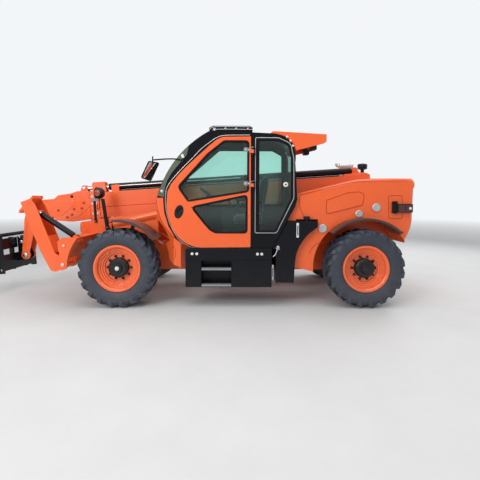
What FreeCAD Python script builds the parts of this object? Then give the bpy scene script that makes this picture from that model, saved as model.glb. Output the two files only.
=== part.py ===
"""Telehandler with a three section boom, four steered wheels and front stabiliser legs.

Millimetres, +X to the front, +Y to the left, +Z up, the ground at Z = 0.
Places below are measured from the middle of the wheelbase. The finished solids are
moved so that the origin is under the middle of the whole machine.
"""
import FreeCAD, Part
import math
import os

os.makedirs("parts", exist_ok=True)
V = FreeCAD.Vector

# Clearances
FIT = 0.3            # between a piece and its seat, a pin and its bore
CLEAR = 6.0          # between pieces that move past each other

# Running gear
WHEELBASE = 3640.0
FRONT_X = WHEELBASE / 2
REAR_X = -WHEELBASE / 2
TYRE_RADIUS = 580.0
TYRE_WIDTH = 410.0
LUGS = 20            # on each side of a tyre
LUG_HEIGHT = 26.0
LUG_WIDTH = 44.0
LUG_SLANT = 96.0     # how far a lug runs round the tyre
LUG_GAP = 6.0        # from the middle plane to a lug's inner end
WHEEL_Y = 970.0      # middle plane of a wheel
KINGPIN_Y = 800.0
STEER_ANGLE = 30.0
RIM_RADIUS = TYRE_RADIUS - 235.0   # over the flange
BEAD_RADIUS = RIM_RADIUS - 35.0
SIDE_RADIUS = RIM_RADIUS + 105.0   # where a tyre is widest
RIM_WIDTH = 350.0
RIM_WALL = 14.0
DISC_RADIUS = 205.0  # flat middle of the wheel disc
DISC_Y = 55.0        # outer face of the flat middle, from the middle plane
RIM_STEPS = 3        # ledges between the flat middle and the barrel
STEP_RISE = 20.0
STEP_RUN = 26.0
STEP_SLOPE = 8.0
HUB_RADIUS = 140.0
HUB_DRUM_RADIUS = 165.0
HUB_OUT = 165.0      # end of the hub cap, from the middle plane
AXLE_RADIUS = 90.0
AXLE_HOUSING_RADIUS = 205.0
AXLE_PAD_Z = TYRE_RADIUS + 120.0   # where the axles bolt to the frame
KINGPIN_RADIUS = 32.0
KINGPIN_REACH = 205.0  # from the axle's centre to the outside of the yoke arms
ARCH_RADIUS = TYRE_RADIUS + 132.0  # clear of a tyre steered to its limit
FENDER_INNER = ARCH_RADIUS - 12.0
FENDER_WALL = 10.0

# Frame
FRAME_IN = 260.0
FRAME_OUT = 420.0
FRAME_BOTTOM = 430.0
FRAME_TOP = 850.0
FRAME_FRONT = FRONT_X + ARCH_RADIUS - 132.0
FRAME_REAR = REAR_X - 540.0
HITCH_X = REAR_X - 800.0
TOW_PIN = 16.0
FRONT_BOX_TOP = 1030.0

# Boom, in its own frame: u along it from the pivot, w up
PIVOT_X = REAR_X - 280.0
PIVOT_Z = 1780.0
PIVOT_RADIUS = 45.0
BOOM_DROP = 4.0      # degrees nose down at rest
BOOM_LIFT = 65.0
OUTER_TOP = 252.0
OUTER_HEIGHT = 440.0
OUTER_WIDTH = 340.0
OUTER_START = -150.0
OUTER_END = 4720.0
BOOM_WALL = 10.0
SECTION_GAP = 22.0   # between one section and the next, filled by wear pads
MID_START = 130.0
MID_END = 4960.0
COLLAR_LENGTH = 430.0
INNER_START = 260.0
INNER_END = 5560.0
STROKE = 3200.0
PAD_LENGTH = 160.0

# Boom head and tool carrier, in the boom's frame
NECK_HALF = 92.0
NECK_PLATE = 20.0
TILT_U = 5960.0
TILT_W = -760.0
TILT_BACK = 15.0
TILT_DUMP = 90.0
CARRIER_HALF = 450.0
CARRIER_FACE = TILT_U + 150.0
LOCK_AHEAD = 52.0
LOCK_DOWN = 190.0
LOCK_PIN = 20.0

# Cylinders
LIFT_BASE = (REAR_X - 130.0, 1000.0)
LIFT_EYE = (1580.0, -250.0)          # on the boom, u and w
TILT_BASE = (5620.0, 40.0)           # on the boom head, u and w
TILT_EYE = (6045.0, -525.0)          # on the carrier, u and w
LIFT_PIN = 35.0
TILT_PIN = 25.0
RAM_PIN = 20.0
EXTEND_PIN = 19.0
EXTEND_RADIUS = 58.0
EXTEND_W = OUTER_TOP + 90.0
EXTEND_START = 60.0
EXTEND_END = 4430.0

# Stabiliser legs
LEG_PIVOT = (FRAME_FRONT + 190.0, 640.0)
LEG_ANGLE = 68.8     # above the horizontal at rest
LEG_SWING = 95.0
LEG_IN = 866.0
LEG_WIDTH = 263.0
LEG_OUT = LEG_IN + LEG_WIDTH
LEG_PIN = 28.0
LEG_LENGTH = 1060.0
LEG_PLATE = 12.0
RAM_BASE = (FRAME_FRONT + 60.0, 1020.0)
RAM_EYE = (LEG_LENGTH - 200.0, 130.0)             # along the leg and ahead of the pivot line
CHEEK = 25.0
BEAM_END = LEG_IN - CLEAR - CHEEK + 5
BEAM_WALL = 26.0

# Cab
CAB_IN = 285.0
CAB_OUT = 1055.0
CAB_WALL = 40.0
CAB_FLOOR = 870.0
DOOR_THICK = 38.0
HINGE_X = -150.0
HINGE_R = 12.0
DOOR_OPEN = 95.0
GLASS = 6.0

# Body panels
SKIN = 25.0
POD_IN = FRAME_OUT + 2.0
POD_OUT = 985.0
HOOD_OUT = 1060.0
STEP_OUT = 1100.0
FAIRING_OUT = 452.0


def box(x0, x1, y0, y1, z0, z1):
    """A block between two corners."""
    return Part.makeBox(x1 - x0, y1 - y0, z1 - z0, V(x0, y0, z0))


def rod(start, end, radius):
    """A round bar from one point to another."""
    start, end = V(*start), V(*end)
    return Part.makeCylinder(radius, (end - start).Length, start, end - start)


def bar_y(x, z, radius, y0, y1):
    """A round bar across the machine."""
    return Part.makeCylinder(radius, y1 - y0, V(x, y0, z), V(0, 1, 0))


def outline(points, place):
    """A closed wire. A point with a third value is the middle of an arc to the next one."""
    ring = list(points) + [points[0]]
    edges = []
    step = 0
    while step < len(points):
        here = place(ring[step])
        if len(ring[step + 1]) == 3:
            middle, there = place(ring[step + 1]), place(ring[step + 2])
            edges.append(Part.Arc(here, middle, there).toShape())
            step += 2
        else:
            edges.append(Part.LineSegment(here, place(ring[step + 1])).toShape())
            step += 1
    return Part.Wire(edges)


def side_plate(points, y0, y1):
    """An (x, z) outline made solid from y0 to y1."""
    face = Part.Face(outline(points, lambda p: V(p[0], y0, p[1])))
    return face.extrude(V(0, y1 - y0, 0))


def plan_block(points, z0, z1):
    """An (x, y) outline made solid from z0 to z1."""
    face = Part.Face(outline(points, lambda p: V(p[0], p[1], z0)))
    return face.extrude(V(0, 0, z1 - z0))


def turned(points, x, y, z):
    """A (y, radius) outline turned about an axis across the machine, left side outward."""
    face = Part.Face(outline(points, lambda p: V(0, p[0], p[1])))
    shape = face.revolve(V(0, 0, 0), V(0, 1, 0), 360)
    shape.translate(V(x, y, z))
    return shape


def turned_about(points, centre, axis):
    """A (along, radius) outline turned about an axis of any direction."""
    shape = turned(points, 0, 0, 0)
    shape.Placement = FreeCAD.Placement(centre, FreeCAD.Rotation(V(0, 1, 0), axis))
    return shape


def arc_ring(x, z, inner, outer, first, last, y0, y1):
    """Part of a ring about an axis across the machine, angles in degrees from the top,
    positive to the rear."""
    def at(radius, angle):
        turn = math.radians(angle)
        return (x - radius * math.sin(turn), z + radius * math.cos(turn))
    middle = (first + last) / 2
    points = [at(inner, first), at(inner, middle) + (1,), at(inner, last),
              at(outer, last), at(outer, middle) + (1,), at(outer, first)]
    return side_plate(points, y0, y1)


def mirrored(shape):
    """The same piece on the other side of the machine."""
    return shape.mirror(V(0, 0, 0), V(0, 1, 0))


def both(shape):
    """A piece and its mirror image."""
    return [shape, mirrored(shape)]


def fused(shapes):
    """Shapes joined to one solid."""
    first, rest = shapes[0], list(shapes[1:])
    return first.fuse(rest).removeSplitter() if rest else first


def on_boom(shape):
    """Moves a shape from the boom's frame to the machine's."""
    shape.rotate(V(0, 0, 0), V(0, 1, 0), BOOM_DROP)
    shape.translate(V(PIVOT_X, 0, PIVOT_Z))
    return shape


def boom_point(u, w):
    """A point of the boom's frame as x and z of the machine."""
    turn = math.radians(BOOM_DROP)
    return (PIVOT_X + u * math.cos(turn) + w * math.sin(turn),
            PIVOT_Z - u * math.sin(turn) + w * math.cos(turn))


def leg_point(along, ahead, swing=0.0):
    """A point of a stabiliser leg as x and z of the machine."""
    turn = math.radians(LEG_ANGLE - swing)
    return (LEG_PIVOT[0] + along * math.cos(turn) + ahead * math.sin(turn),
            LEG_PIVOT[1] + along * math.sin(turn) - ahead * math.cos(turn))


def turned_point(point, centre, angle):
    """A point (x, z) turned about a centre, positive taking +X up."""
    turn = math.radians(angle)
    dx, dz = point[0] - centre[0], point[1] - centre[1]
    return (centre[0] + dx * math.cos(turn) - dz * math.sin(turn),
            centre[1] + dx * math.sin(turn) + dz * math.cos(turn))


def linkage(base, eye, pivot, swing):
    """How far a cylinder's barrel turns (degrees) and its rod slides (mm) for a swing."""
    moved = turned_point(eye, pivot, swing)
    before = math.atan2(eye[1] - base[1], eye[0] - base[0])
    after = math.atan2(moved[1] - base[1], moved[0] - base[0])
    return (math.degrees(after - before),
            math.dist(base, moved) - math.dist(base, eye))


def cylinder_pair(base, eye, y, pin_r, barrel_r, rod_r, gland, rod_start, eye_r, eye_half, back=0.0):
    """Barrel and rod of a hydraulic cylinder between two (x, z) points in a plane y.
    gland is the barrel's length from its pin, rod_start the rod's inner end and back
    how far the rod can still go in from rest."""
    length = math.dist(base, eye)
    way = V((eye[0] - base[0]) / length, 0, (eye[1] - base[1]) / length)
    start = V(base[0], y, base[1])
    neck = eye_r + 22

    def at(distance):
        return start + way * distance
    barrel = fused([
        bar_y(base[0], base[1], eye_r, y - eye_half, y + eye_half),
        Part.makeCylinder(eye_half - 4, neck, start, way),
        Part.makeCylinder(barrel_r, gland - neck, at(neck), way),
        Part.makeCylinder(barrel_r * 1.12, barrel_r * 0.7, at(gland - barrel_r * 0.7), way)])
    bore = Part.makeCylinder(rod_r + FIT, 2 * gland, at(rod_start - CLEAR - back), way)
    eye_hole = bar_y(base[0], base[1], pin_r + FIT, y - 2 * eye_half, y + 2 * eye_half)
    barrel = barrel.cut(bore).cut(eye_hole)
    piston_rod = fused([
        Part.makeCylinder(rod_r, length - rod_start, at(rod_start), way),
        bar_y(eye[0], eye[1], eye_r, y - eye_half, y + eye_half)])
    return barrel, piston_rod


def faceted_ring(loop):
    """A closed (y, radius) loop turned about an axis across the machine, in flat facets."""
    turn = 2 * math.pi / LUGS

    def corner(y, radius, step):
        return V(radius * math.cos(step * turn), y, radius * math.sin(step * turn))
    faces = []
    for step in range(LUGS):
        for (y0, r0), (y1, r1) in zip(loop, loop[1:] + loop[:1]):
            ring = [corner(y0, r0, step), corner(y1, r1, step), corner(y1, r1, step + 1),
                    corner(y0, r0, step + 1), corner(y0, r0, step)]
            faces.append(Part.Face(Part.makePolygon(ring)))
    solid = Part.makeSolid(Part.makeShell(faces))
    if solid.Volume < 0:
        solid.reverse()
    return solid


def make_tyre():
    """A tyre with a faceted body and two rows of slanted lugs, about its own centre."""
    half = TYRE_WIDTH / 2
    seat = RIM_WIDTH / 2 - RIM_WALL - FIT
    bead = (BEAD_RADIUS + FIT) / math.cos(math.pi / LUGS)
    crown = TYRE_RADIUS - LUG_HEIGHT
    outer = [(seat, bead), (seat, RIM_RADIUS + 9), (half, SIDE_RADIUS), (half - 62, crown)]
    body = faceted_ring([(-y, radius) for y, radius in outer] + outer[::-1])
    reach = (LUG_SLANT + LUG_WIDTH) / 2
    top = math.sqrt(TYRE_RADIUS ** 2 - reach ** 2)
    plan = [(-reach, LUG_GAP), (LUG_WIDTH - reach, LUG_GAP), (reach, half - 4),
            (reach - LUG_WIDTH, half - 4)]
    lug = plan_block(plan, SIDE_RADIUS + 20, top)
    first = math.degrees(math.atan2(reach, top))
    lugs = []
    for step in range(LUGS):
        for piece, shift in ((lug, 0.0), (mirrored(lug), 0.5)):
            placed = piece.copy()
            placed.rotate(V(0, 0, 0), V(0, 1, 0), first + (step + shift) * 360 / LUGS)
            lugs.append(placed)
    return body.fuse(lugs)


def make_rim():
    """Drop-free rim barrel with its flanges, and the dished disc that carries it."""
    half = RIM_WIDTH / 2
    inner = BEAD_RADIUS - RIM_WALL
    barrel = [(-half, RIM_RADIUS), (-half, inner + 20), (20 - half, inner), (half - 20, inner),
              (half, inner + 20), (half, RIM_RADIUS), (half - RIM_WALL, RIM_RADIUS),
              (half - RIM_WALL, BEAD_RADIUS), (RIM_WALL - half, BEAD_RADIUS),
              (RIM_WALL - half, RIM_RADIUS)]
    front = [(DISC_Y, HUB_RADIUS + 4), (DISC_Y, DISC_RADIUS)]
    for step in range(1, RIM_STEPS + 1):
        y = DISC_Y + step * STEP_RISE
        radius = DISC_RADIUS + step * STEP_RUN
        front += [(y, radius - STEP_RUN + STEP_SLOPE), (y, radius)]
    front[-1] = (front[-1][0], inner + 2)
    back = [(y - RIM_WALL, min(radius + STEP_SLOPE / 2, inner + 2)) for y, radius in reversed(front[1:])]
    disc = front + back + [(DISC_Y - RIM_WALL, HUB_RADIUS + 4)]
    return fused([turned(barrel, 0, 0, 0), turned(disc, 0, 0, 0)])


def make_hub():
    """Planetary hub: drum behind the disc, flange, and the stepped cap in front of it."""
    back = DISC_Y - RIM_WALL - FIT
    points = [(-95, 0), (-95, 120), (-60, HUB_DRUM_RADIUS), (back - 22, HUB_DRUM_RADIUS),
              (back - 22, DISC_RADIUS - 8), (back, DISC_RADIUS - 8), (back, HUB_RADIUS),
              (HUB_OUT - 40, HUB_RADIUS), (HUB_OUT - 22, HUB_RADIUS - 22),
              (HUB_OUT - 22, 72), (HUB_OUT, 62), (HUB_OUT, 0)]
    return turned(points, 0, 0, 0)


def make_knuckle():
    """Steering knuckle of a left wheel, about the axle's centre line."""
    flange = turned([(-50, 0), (-50, 100), (40, 145), (WHEEL_Y - KINGPIN_Y - 95 - FIT, 145),
                     (WHEEL_Y - KINGPIN_Y - 95 - FIT, 0)], 0, KINGPIN_Y, 0)
    post = Part.makeCylinder(70, 2 * (KINGPIN_REACH - 50 - FIT), V(0, KINGPIN_Y, 50 + FIT - KINGPIN_REACH))
    pin = Part.makeCylinder(KINGPIN_RADIUS, 2 * KINGPIN_REACH, V(0, KINGPIN_Y, -KINGPIN_REACH))
    arm = box(-230, -60, KINGPIN_Y - 45, KINGPIN_Y + 5, -60, -20)
    return fused([flange, post, pin, arm])


def make_axle(x):
    """Axle beam with its differential housing, yokes and mounting pads."""
    yoke_in = KINGPIN_Y - 150
    half = [(0, 0), (0, AXLE_HOUSING_RADIUS), (70, AXLE_HOUSING_RADIUS), (125, 165), (170, 135),
            (300, AXLE_RADIUS + 8), (yoke_in, AXLE_RADIUS), (yoke_in, 0)]
    left = turned(half, 0, 0, 0)
    arm = box(-70, 70, KINGPIN_Y - 60, KINGPIN_Y + 60, KINGPIN_REACH - 50, KINGPIN_REACH)
    arm = arm.common(Part.makeCylinder(78, 60, V(0, KINGPIN_Y, KINGPIN_REACH - 55)))
    web = box(-70, 70, yoke_in - 60, KINGPIN_Y - 30, KINGPIN_REACH - 50, KINGPIN_REACH)
    cheek = box(-70, 70, yoke_in - 60, yoke_in + 40, 50 - KINGPIN_REACH, KINGPIN_REACH - 50)
    low_arm = arm.mirror(V(0, 0, 0), V(0, 0, 1))
    low_web = web.mirror(V(0, 0, 0), V(0, 0, 1))
    pad = box(-110, 110, FRAME_IN + 20, FRAME_OUT - 20, 0, AXLE_PAD_Z - TYRE_RADIUS - FIT)
    side = fused([left, arm, web, cheek, low_arm, low_web, pad])
    bore = Part.makeCylinder(KINGPIN_RADIUS + FIT, 3 * KINGPIN_REACH,
                             V(0, KINGPIN_Y, -1.5 * KINGPIN_REACH))
    swing = Part.makeCylinder(70 + CLEAR, 2 * (KINGPIN_REACH - 50),
                              V(0, KINGPIN_Y, 50 - KINGPIN_REACH))
    side = side.cut(bore).cut(swing)
    flange = rod((0, 0, 0), (-260 if x > 0 else 260, 0, 0), 70)
    whole = fused([side, mirrored(side), flange])
    whole.translate(V(x, 0, TYRE_RADIUS))
    return whole


def make_frame():
    """Two deep side members joined by cross members, the boom's ears and the front box."""
    top = FRAME_TOP - FIT
    pad = AXLE_PAD_Z
    rear_low = 560.0
    ear = 130.0
    front, rear = FRONT_X, REAR_X
    side = [(FRAME_FRONT, 640), (FRAME_FRONT, 960), (front - 320, 960), (front - 490, top),
            (rear + 860, top), (rear + 320, 1230), (PIVOT_X + 190, PIVOT_Z + 20),
            (PIVOT_X, PIVOT_Z + ear, 1), (PIVOT_X - 150, PIVOT_Z + 20), (FRAME_REAR, 1250),
            (FRAME_REAR, rear_low), (rear - 340, rear_low), (rear - 210, pad), (rear + 210, pad),
            (rear + 340, FRAME_BOTTOM), (front - 340, FRAME_BOTTOM), (front - 210, pad),
            (front + 240, pad), (front + 320, 640)]
    rail = side_plate(side, FRAME_IN, FRAME_OUT)
    rail = rail.cut(bar_y(PIVOT_X, PIVOT_Z, PIVOT_RADIUS + FIT, 0, POD_OUT))
    across = FRAME_IN + 1
    crosses = [box(front - 470, front - 370, -across, across, 500, 840),
               box(-100, 0, -across, across, 500, 700),
               box(rear + 420, rear + 520, -across, across, 500, 760),
               box(FRAME_REAR, FRAME_REAR + 40, -across, across, 560, 1250)]
    lug_x, lug_z = LIFT_BASE
    lug = side_plate([(lug_x - 75, lug_z - 190), (lug_x + 75, lug_z - 190), (lug_x + 55, lug_z + 10),
                      (lug_x, lug_z + 60, 1), (lug_x - 55, lug_z + 10)], 55 + CLEAR, 95 + CLEAR)
    lug_floor = box(lug_x - 110, lug_x + 110, -across, across, lug_z - 205, lug_z - 180)
    lift_pin = bar_y(lug_x, lug_z, LIFT_PIN, -130, 130)
    return fused(both(rail) + crosses + both(lug) + [lug_floor, lift_pin])


def make_front_box():
    """Cross box ahead of the front wheels, welded between and round the side members,
    with the cheeks that hold the stabiliser legs."""
    low, high = 600.0, FRONT_BOX_TOP
    reach = ARCH_RADIUS + 4
    wall = BEAM_WALL
    nose = FRAME_FRONT + 240

    def on_arc(radius, z):
        return (FRONT_X + math.sqrt(radius ** 2 - (z - TYRE_RADIUS) ** 2), z)
    middle = (low + high) / 2
    back = on_arc(reach, middle) + (1,)
    front = on_arc(reach + wall, middle) + (1,)
    beam = side_plate([on_arc(reach, low), back, on_arc(reach, high), (nose, high), (nose, low)],
                      -BEAM_END, BEAM_END)
    inner = BEAM_END - 40
    hollow = box(FRAME_FRONT - 100, nose - 20, -inner, inner, low - 10, high - 60)
    beam = beam.cut(hollow.common(side_plate(
        [on_arc(reach + wall, low), front, on_arc(reach + wall, high - 30), (nose - 20, high - 30),
         (nose - 20, low)], -inner, inner)))
    knee, upper = 725.0, 880.0
    shell = side_plate([on_arc(reach, knee), on_arc(reach, upper) + (1,), on_arc(reach, high),
                        on_arc(reach + wall, high), on_arc(reach + wall, upper) + (1,),
                        on_arc(reach + wall, knee)], inner, LEG_OUT + CLEAR + 5)
    px, pz = LEG_PIVOT
    cheek = [on_arc(reach, low), back, on_arc(reach, high), (px + 10, high), (px + 75, high - 60),
             (px + 65, pz + 220), (px + 50, pz + 160, 1), (px + 65, pz + 100), (px + 78, pz),
             (px + 60, pz - 70, 1), (px, pz - 80), (px - 40, pz - 65)]
    cheeks = [side_plate(cheek, LEG_IN - CLEAR - CHEEK, LEG_IN - CLEAR),
              side_plate(cheek, LEG_OUT + CLEAR, LEG_OUT + CLEAR + CHEEK)]
    bores = bar_y(px, pz, LEG_PIN + FIT, BEAM_END + 1, LEG_OUT + 200)
    cheeks = [each.cut(bores) for each in cheeks]
    x, z = RAM_BASE
    middle_y = (LEG_IN + LEG_OUT) / 2
    lug = [(x - 70, z - 60), (x + 10, z - 60), (x + 42, z, 1), (x + 10, z + 40), (x - 70, z + 9)]
    lugs = [side_plate(lug, middle_y - 52, middle_y - 30 - CLEAR),
            side_plate(lug, middle_y + 30 + CLEAR, middle_y + 52)]
    pin = bar_y(x, z, RAM_PIN, middle_y - 60, middle_y + 60)
    lock = bar_y(x + 110, 915, 20, LEG_OUT + CLEAR + 5, LEG_OUT + CLEAR + CHEEK + 12)
    tie = box(FRAME_FRONT + FIT, nose - 10, FRAME_IN + 10, FRAME_OUT - 10, 700, 940)
    left = [shell, pin, lock, tie] + cheeks + lugs
    return fused([beam] + left + [mirrored(each) for each in left])


def make_hitch():
    """Rear tow jaw with its pin hole, bolted to the end of the frame."""
    x0, x1 = HITCH_X, FRAME_REAR - FIT
    jaw = fused([box(x0, x1, -70, 70, 560, 590), box(x0, x1, -70, 70, 660, 690),
                 box(x0 + 240, x1, -90, 90, 560, 690), box(x1 - 25, x1, -140, 140, 560, 715)])
    jaw = jaw.cut(Part.makeCylinder(TOW_PIN, 300, V(x0 + 60, 0, 500)))
    bolts = [rod((x1 - 35, y, z), (x1 - 24, y, z), 15) for y in (-115, 115) for z in (585, 685)]
    return fused([jaw] + bolts)


def make_boom_tube(top, height, width, start, end):
    """One hollow boom section in the boom's frame."""
    solid = box(start, end, -width / 2, width / 2, top - height, top)
    wall = BOOM_WALL
    inside = box(start - 1, end + 1, wall - width / 2, width / 2 - wall,
                 top - height + wall, top - wall)
    return solid.cut(inside)


def section(step):
    """Top, height and width of boom section 0, 1 or 2."""
    less = 2 * step * (BOOM_WALL + SECTION_GAP)
    return (OUTER_TOP - less / 2, OUTER_HEIGHT - less, OUTER_WIDTH - less)


def pad_ring(step, start):
    """Wear pads between section step and the one inside it, fixed to the larger one."""
    top, height, width = section(step)
    outer = box(start, start + PAD_LENGTH, 1 - width / 2, width / 2 - 1,
                top - height + 1, top - 1)
    inner_top, inner_height, inner_width = section(step + 1)
    hole = box(start - 1, start + PAD_LENGTH + 1, -inner_width / 2 - FIT, inner_width / 2 + FIT,
               inner_top - inner_height - FIT, inner_top + FIT)
    return outer.cut(hole)


def tail_pads(step, start):
    """Wear pads at the tail of section step, fixed to it and riding in the larger one."""
    top, height, width = section(step)
    gap = SECTION_GAP - FIT
    outer = box(start, start + PAD_LENGTH, -width / 2 - gap, width / 2 + gap,
                top - height - gap, top + gap)
    inner = box(start - 1, start + PAD_LENGTH + 1, 1 - width / 2, width / 2 - 1,
                top - height + 1, top - 1)
    corner = 40.0
    side_slot = box(start - 1, start + PAD_LENGTH + 1, -width, width,
                    top - height + corner, top - corner)
    notch = box(start - 1, start + PAD_LENGTH + 1, corner - width / 2, width / 2 - corner,
                top - 2 * height, top + height)
    return outer.cut(inner).cut(side_slot.common(notch))


def make_boom_outer():
    """Outer boom section with its pivot tube, tail block, cylinder lugs and mouth collar."""
    top, height, width = section(0)
    half = width / 2
    low = top - height
    tube = make_boom_tube(top, height, width, OUTER_START, OUTER_END)
    pivot = bar_y(0, 0, PIVOT_RADIUS + 35, CLEAR - FRAME_IN, FRAME_IN - CLEAR)
    pin = bar_y(0, 0, PIVOT_RADIUS, 1 - FRAME_OUT, FRAME_OUT - 1)
    closing = box(OUTER_START, OUTER_START + 20, -half, half, low, top)
    eye_u, eye_w = LIFT_EYE
    ear = side_plate([(eye_u - 170, low + 5), (eye_u - 60, eye_w - 40), (eye_u, eye_w - 75, 1),
                      (eye_u + 60, eye_w - 40), (eye_u + 170, low + 5)], 55 + CLEAR, 80 + CLEAR)
    tail_lug = side_plate([(EXTEND_START - 120, top - 5), (EXTEND_START - 48, EXTEND_W),
                           (EXTEND_START, EXTEND_W + 58, 1), (EXTEND_START + 48, EXTEND_W),
                           (EXTEND_START + 60, top + 26), (EXTEND_START + 110, top - 5)],
                          30 + FIT, 46)
    lug_pin = bar_y(EXTEND_START, EXTEND_W, EXTEND_PIN, -56, 56)
    collar = box(OUTER_END - PAD_LENGTH, OUTER_END, -half - 12, half + 12, low - 12, top + 12)
    mouth = box(OUTER_END - PAD_LENGTH - 1, OUTER_END + 1, -half + 2, half - 2, low + 2, top - 2)
    saddle = box(EXTEND_END - 190, EXTEND_END - 60, -80, 80, top - 3, EXTEND_W + 30)
    saddle = saddle.cut(rod((EXTEND_END - 200, 0, EXTEND_W), (EXTEND_END, 0, EXTEND_W),
                            EXTEND_RADIUS + FIT))
    shape = fused([tube, pivot, pin, closing, saddle, lug_pin, collar.cut(mouth),
                   pad_ring(0, OUTER_END - PAD_LENGTH)] + both(ear) + both(tail_lug))
    return on_boom(shape)


def make_boom_mid():
    """Middle section with the pads at its two ends."""
    top, height, width = section(1)
    tube = make_boom_tube(top, height, width, MID_START, MID_END)
    pads = pad_ring(1, MID_END - PAD_LENGTH)
    return on_boom(fused([tube, pads, tail_pads(1, MID_START)]))


def make_boom_collar():
    """Collar on the end of the middle section, with the lug that the extension rod pushes."""
    top, height, width = section(1)
    outer_top, outer_height, outer_width = section(0)
    start = OUTER_END + CLEAR
    end = MID_END + COLLAR_LENGTH
    low = outer_top - outer_height - 40
    half = outer_width / 2 + 10
    cheek = [(start, low + 50), (start + 90, low + 12), (start + 330, low), (end - 60, low + 40),
             (end, low + 150), (end - 20, outer_top - 90), (end - 130, outer_top - 10),
             (start + 300, outer_top + 12), (start + 200, outer_top + 40), (start + 60, outer_top + 40),
             (start, outer_top - 10)]
    collar = side_plate(cheek, -half, half)
    inner_top, inner_height, inner_width = section(2)
    gap = SECTION_GAP
    through = box(start - 1, end + 1, -inner_width / 2 - gap, inner_width / 2 + gap,
                  inner_top - inner_height - gap, inner_top + gap)
    sleeve = box(start - 1, MID_END + FIT, -width / 2 - FIT, width / 2 + FIT,
                 top - height - FIT, top + FIT)
    lug = side_plate([(start + 60, outer_top), (start + 80, EXTEND_W + 10),
                      (start + 130, EXTEND_W + 55, 1), (start + 180, EXTEND_W + 10),
                      (start + 220, outer_top)], 30 + CLEAR, 55)
    lug_pin = bar_y(start + 130, EXTEND_W, EXTEND_PIN, -62, 62)
    return on_boom(fused([collar.cut(through).cut(sleeve), lug_pin] + both(lug)))


def make_boom_inner():
    """Inner section with its tail pads and the bent neck that carries the tool carrier."""
    top, height, width = section(2)
    low = top - height
    tube = make_boom_tube(top, height, width, INNER_START, INNER_END)
    u, w = TILT_U, TILT_W
    neck = [(INNER_END - 260, top), (INNER_END + 60, top), (u - 130, top - 130, 1),
            (u - 20, top - 420), (u + 62, w + 40), (u, w - 75, 1), (u - 62, w + 40),
            (u - 150, w + 320), (INNER_END + 20, low - 60, 1), (INNER_END - 160, low)]
    plate = side_plate(neck, NECK_HALF - NECK_PLATE, NECK_HALF)
    plate = plate.cut(bar_y(u, w, 30 + FIT, 0, 200))
    end_plate = box(INNER_END - 20, INNER_END, -width / 2, width / 2, low, top)
    slot = box(INNER_END - 30, INNER_END + 10, -NECK_HALF + NECK_PLATE, NECK_HALF - NECK_PLATE,
               low + 90, top - 30)
    roof = box(INNER_END - 20, INNER_END + 60, -NECK_HALF + NECK_PLATE / 2, NECK_HALF - NECK_PLATE / 2,
               top - 20, top)
    web = box(INNER_END - 20, INNER_END + 30, -NECK_HALF + NECK_PLATE / 2, NECK_HALF - NECK_PLATE / 2,
              low - 40, low - 20)
    pin = bar_y(TILT_BASE[0], TILT_BASE[1], TILT_PIN, -NECK_HALF - 12, NECK_HALF + 12)
    shape = fused([tube, end_plate.cut(slot), roof, web, pin, tail_pads(2, INNER_START)] + both(plate))
    return on_boom(shape)


def make_carrier():
    """Quick tool carrier: ears on the neck, hook tube above and lock bores below."""
    u, w = TILT_U, TILT_W
    eye_u, eye_w = TILT_EYE
    half = CARRIER_HALF
    face = CARRIER_FACE
    ear = side_plate([(u, w - 70), (face, w - 90), (face, eye_w + 110), (eye_u + 20, eye_w + 60),
                      (eye_u - 30, eye_w + 48, 1), (eye_u - 55, eye_w - 5), (u - 58, w + 20),
                      (u - 50, w - 45, 1)], 30 + CLEAR, 52)
    pin = bar_y(u, w, 30, -NECK_HALF - 14, NECK_HALF + 14)
    side = side_plate([(face, w - 250), (face + 92, w - 250), (face + 92, w - 130), (face + 70, w - 60),
                       (face + 70, w + 300),
                       (face + 130, w + 350), (face + 128, w + 430, 1), (face + 50, w + 440),
                       (face, w + 380)], half - 30, half)
    side = side.cut(bar_y(face + LOCK_AHEAD, w - LOCK_DOWN, LOCK_PIN, 0, half + 50))
    plate_low = box(face, face + 22, -half + 5, half - 5, w - 210, w + 60)
    plate_high = box(face, face + 22, -half + 5, half - 5, w + 150, w + 330)
    plate_high = plate_high.cut(box(face - 1, face + 50, -60, 60, w + 140, w + 340))
    rib = box(face, face + 70, 150, 180, w - 220, w + 340)
    hook = bar_y(face + 72, w + 385, 32, -half + 5, half - 5)
    shape = fused([pin, plate_low, plate_high, hook] + both(ear) + both(side) + both(rib))
    return on_boom(shape)


def make_extend_barrel():
    """Long barrel lying on the boom."""
    eye = bar_y(EXTEND_START, EXTEND_W, 40, -30, 30)
    neck = rod((EXTEND_START, 0, EXTEND_W), (EXTEND_START + 80, 0, EXTEND_W), 27)
    barrel = rod((EXTEND_START + 70, 0, EXTEND_W), (EXTEND_END, 0, EXTEND_W), EXTEND_RADIUS)
    bore = rod((900, 0, EXTEND_W), (EXTEND_END + 1, 0, EXTEND_W), 35 + FIT)
    hole = bar_y(EXTEND_START, EXTEND_W, EXTEND_PIN + FIT, -40, 40)
    return on_boom(fused([eye, neck, barrel]).cut(bore).cut(hole))


def make_extend_rod():
    """Rod of the extension cylinder, pinned to the middle section's collar."""
    end = OUTER_END + CLEAR + 130
    bar = rod((1000, 0, EXTEND_W), (end - 20, 0, EXTEND_W), 35)
    eye = bar_y(end, EXTEND_W, 38, -30, 30)
    return on_boom(fused([bar, eye]).cut(bar_y(end, EXTEND_W, EXTEND_PIN + FIT, -40, 40)))


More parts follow.
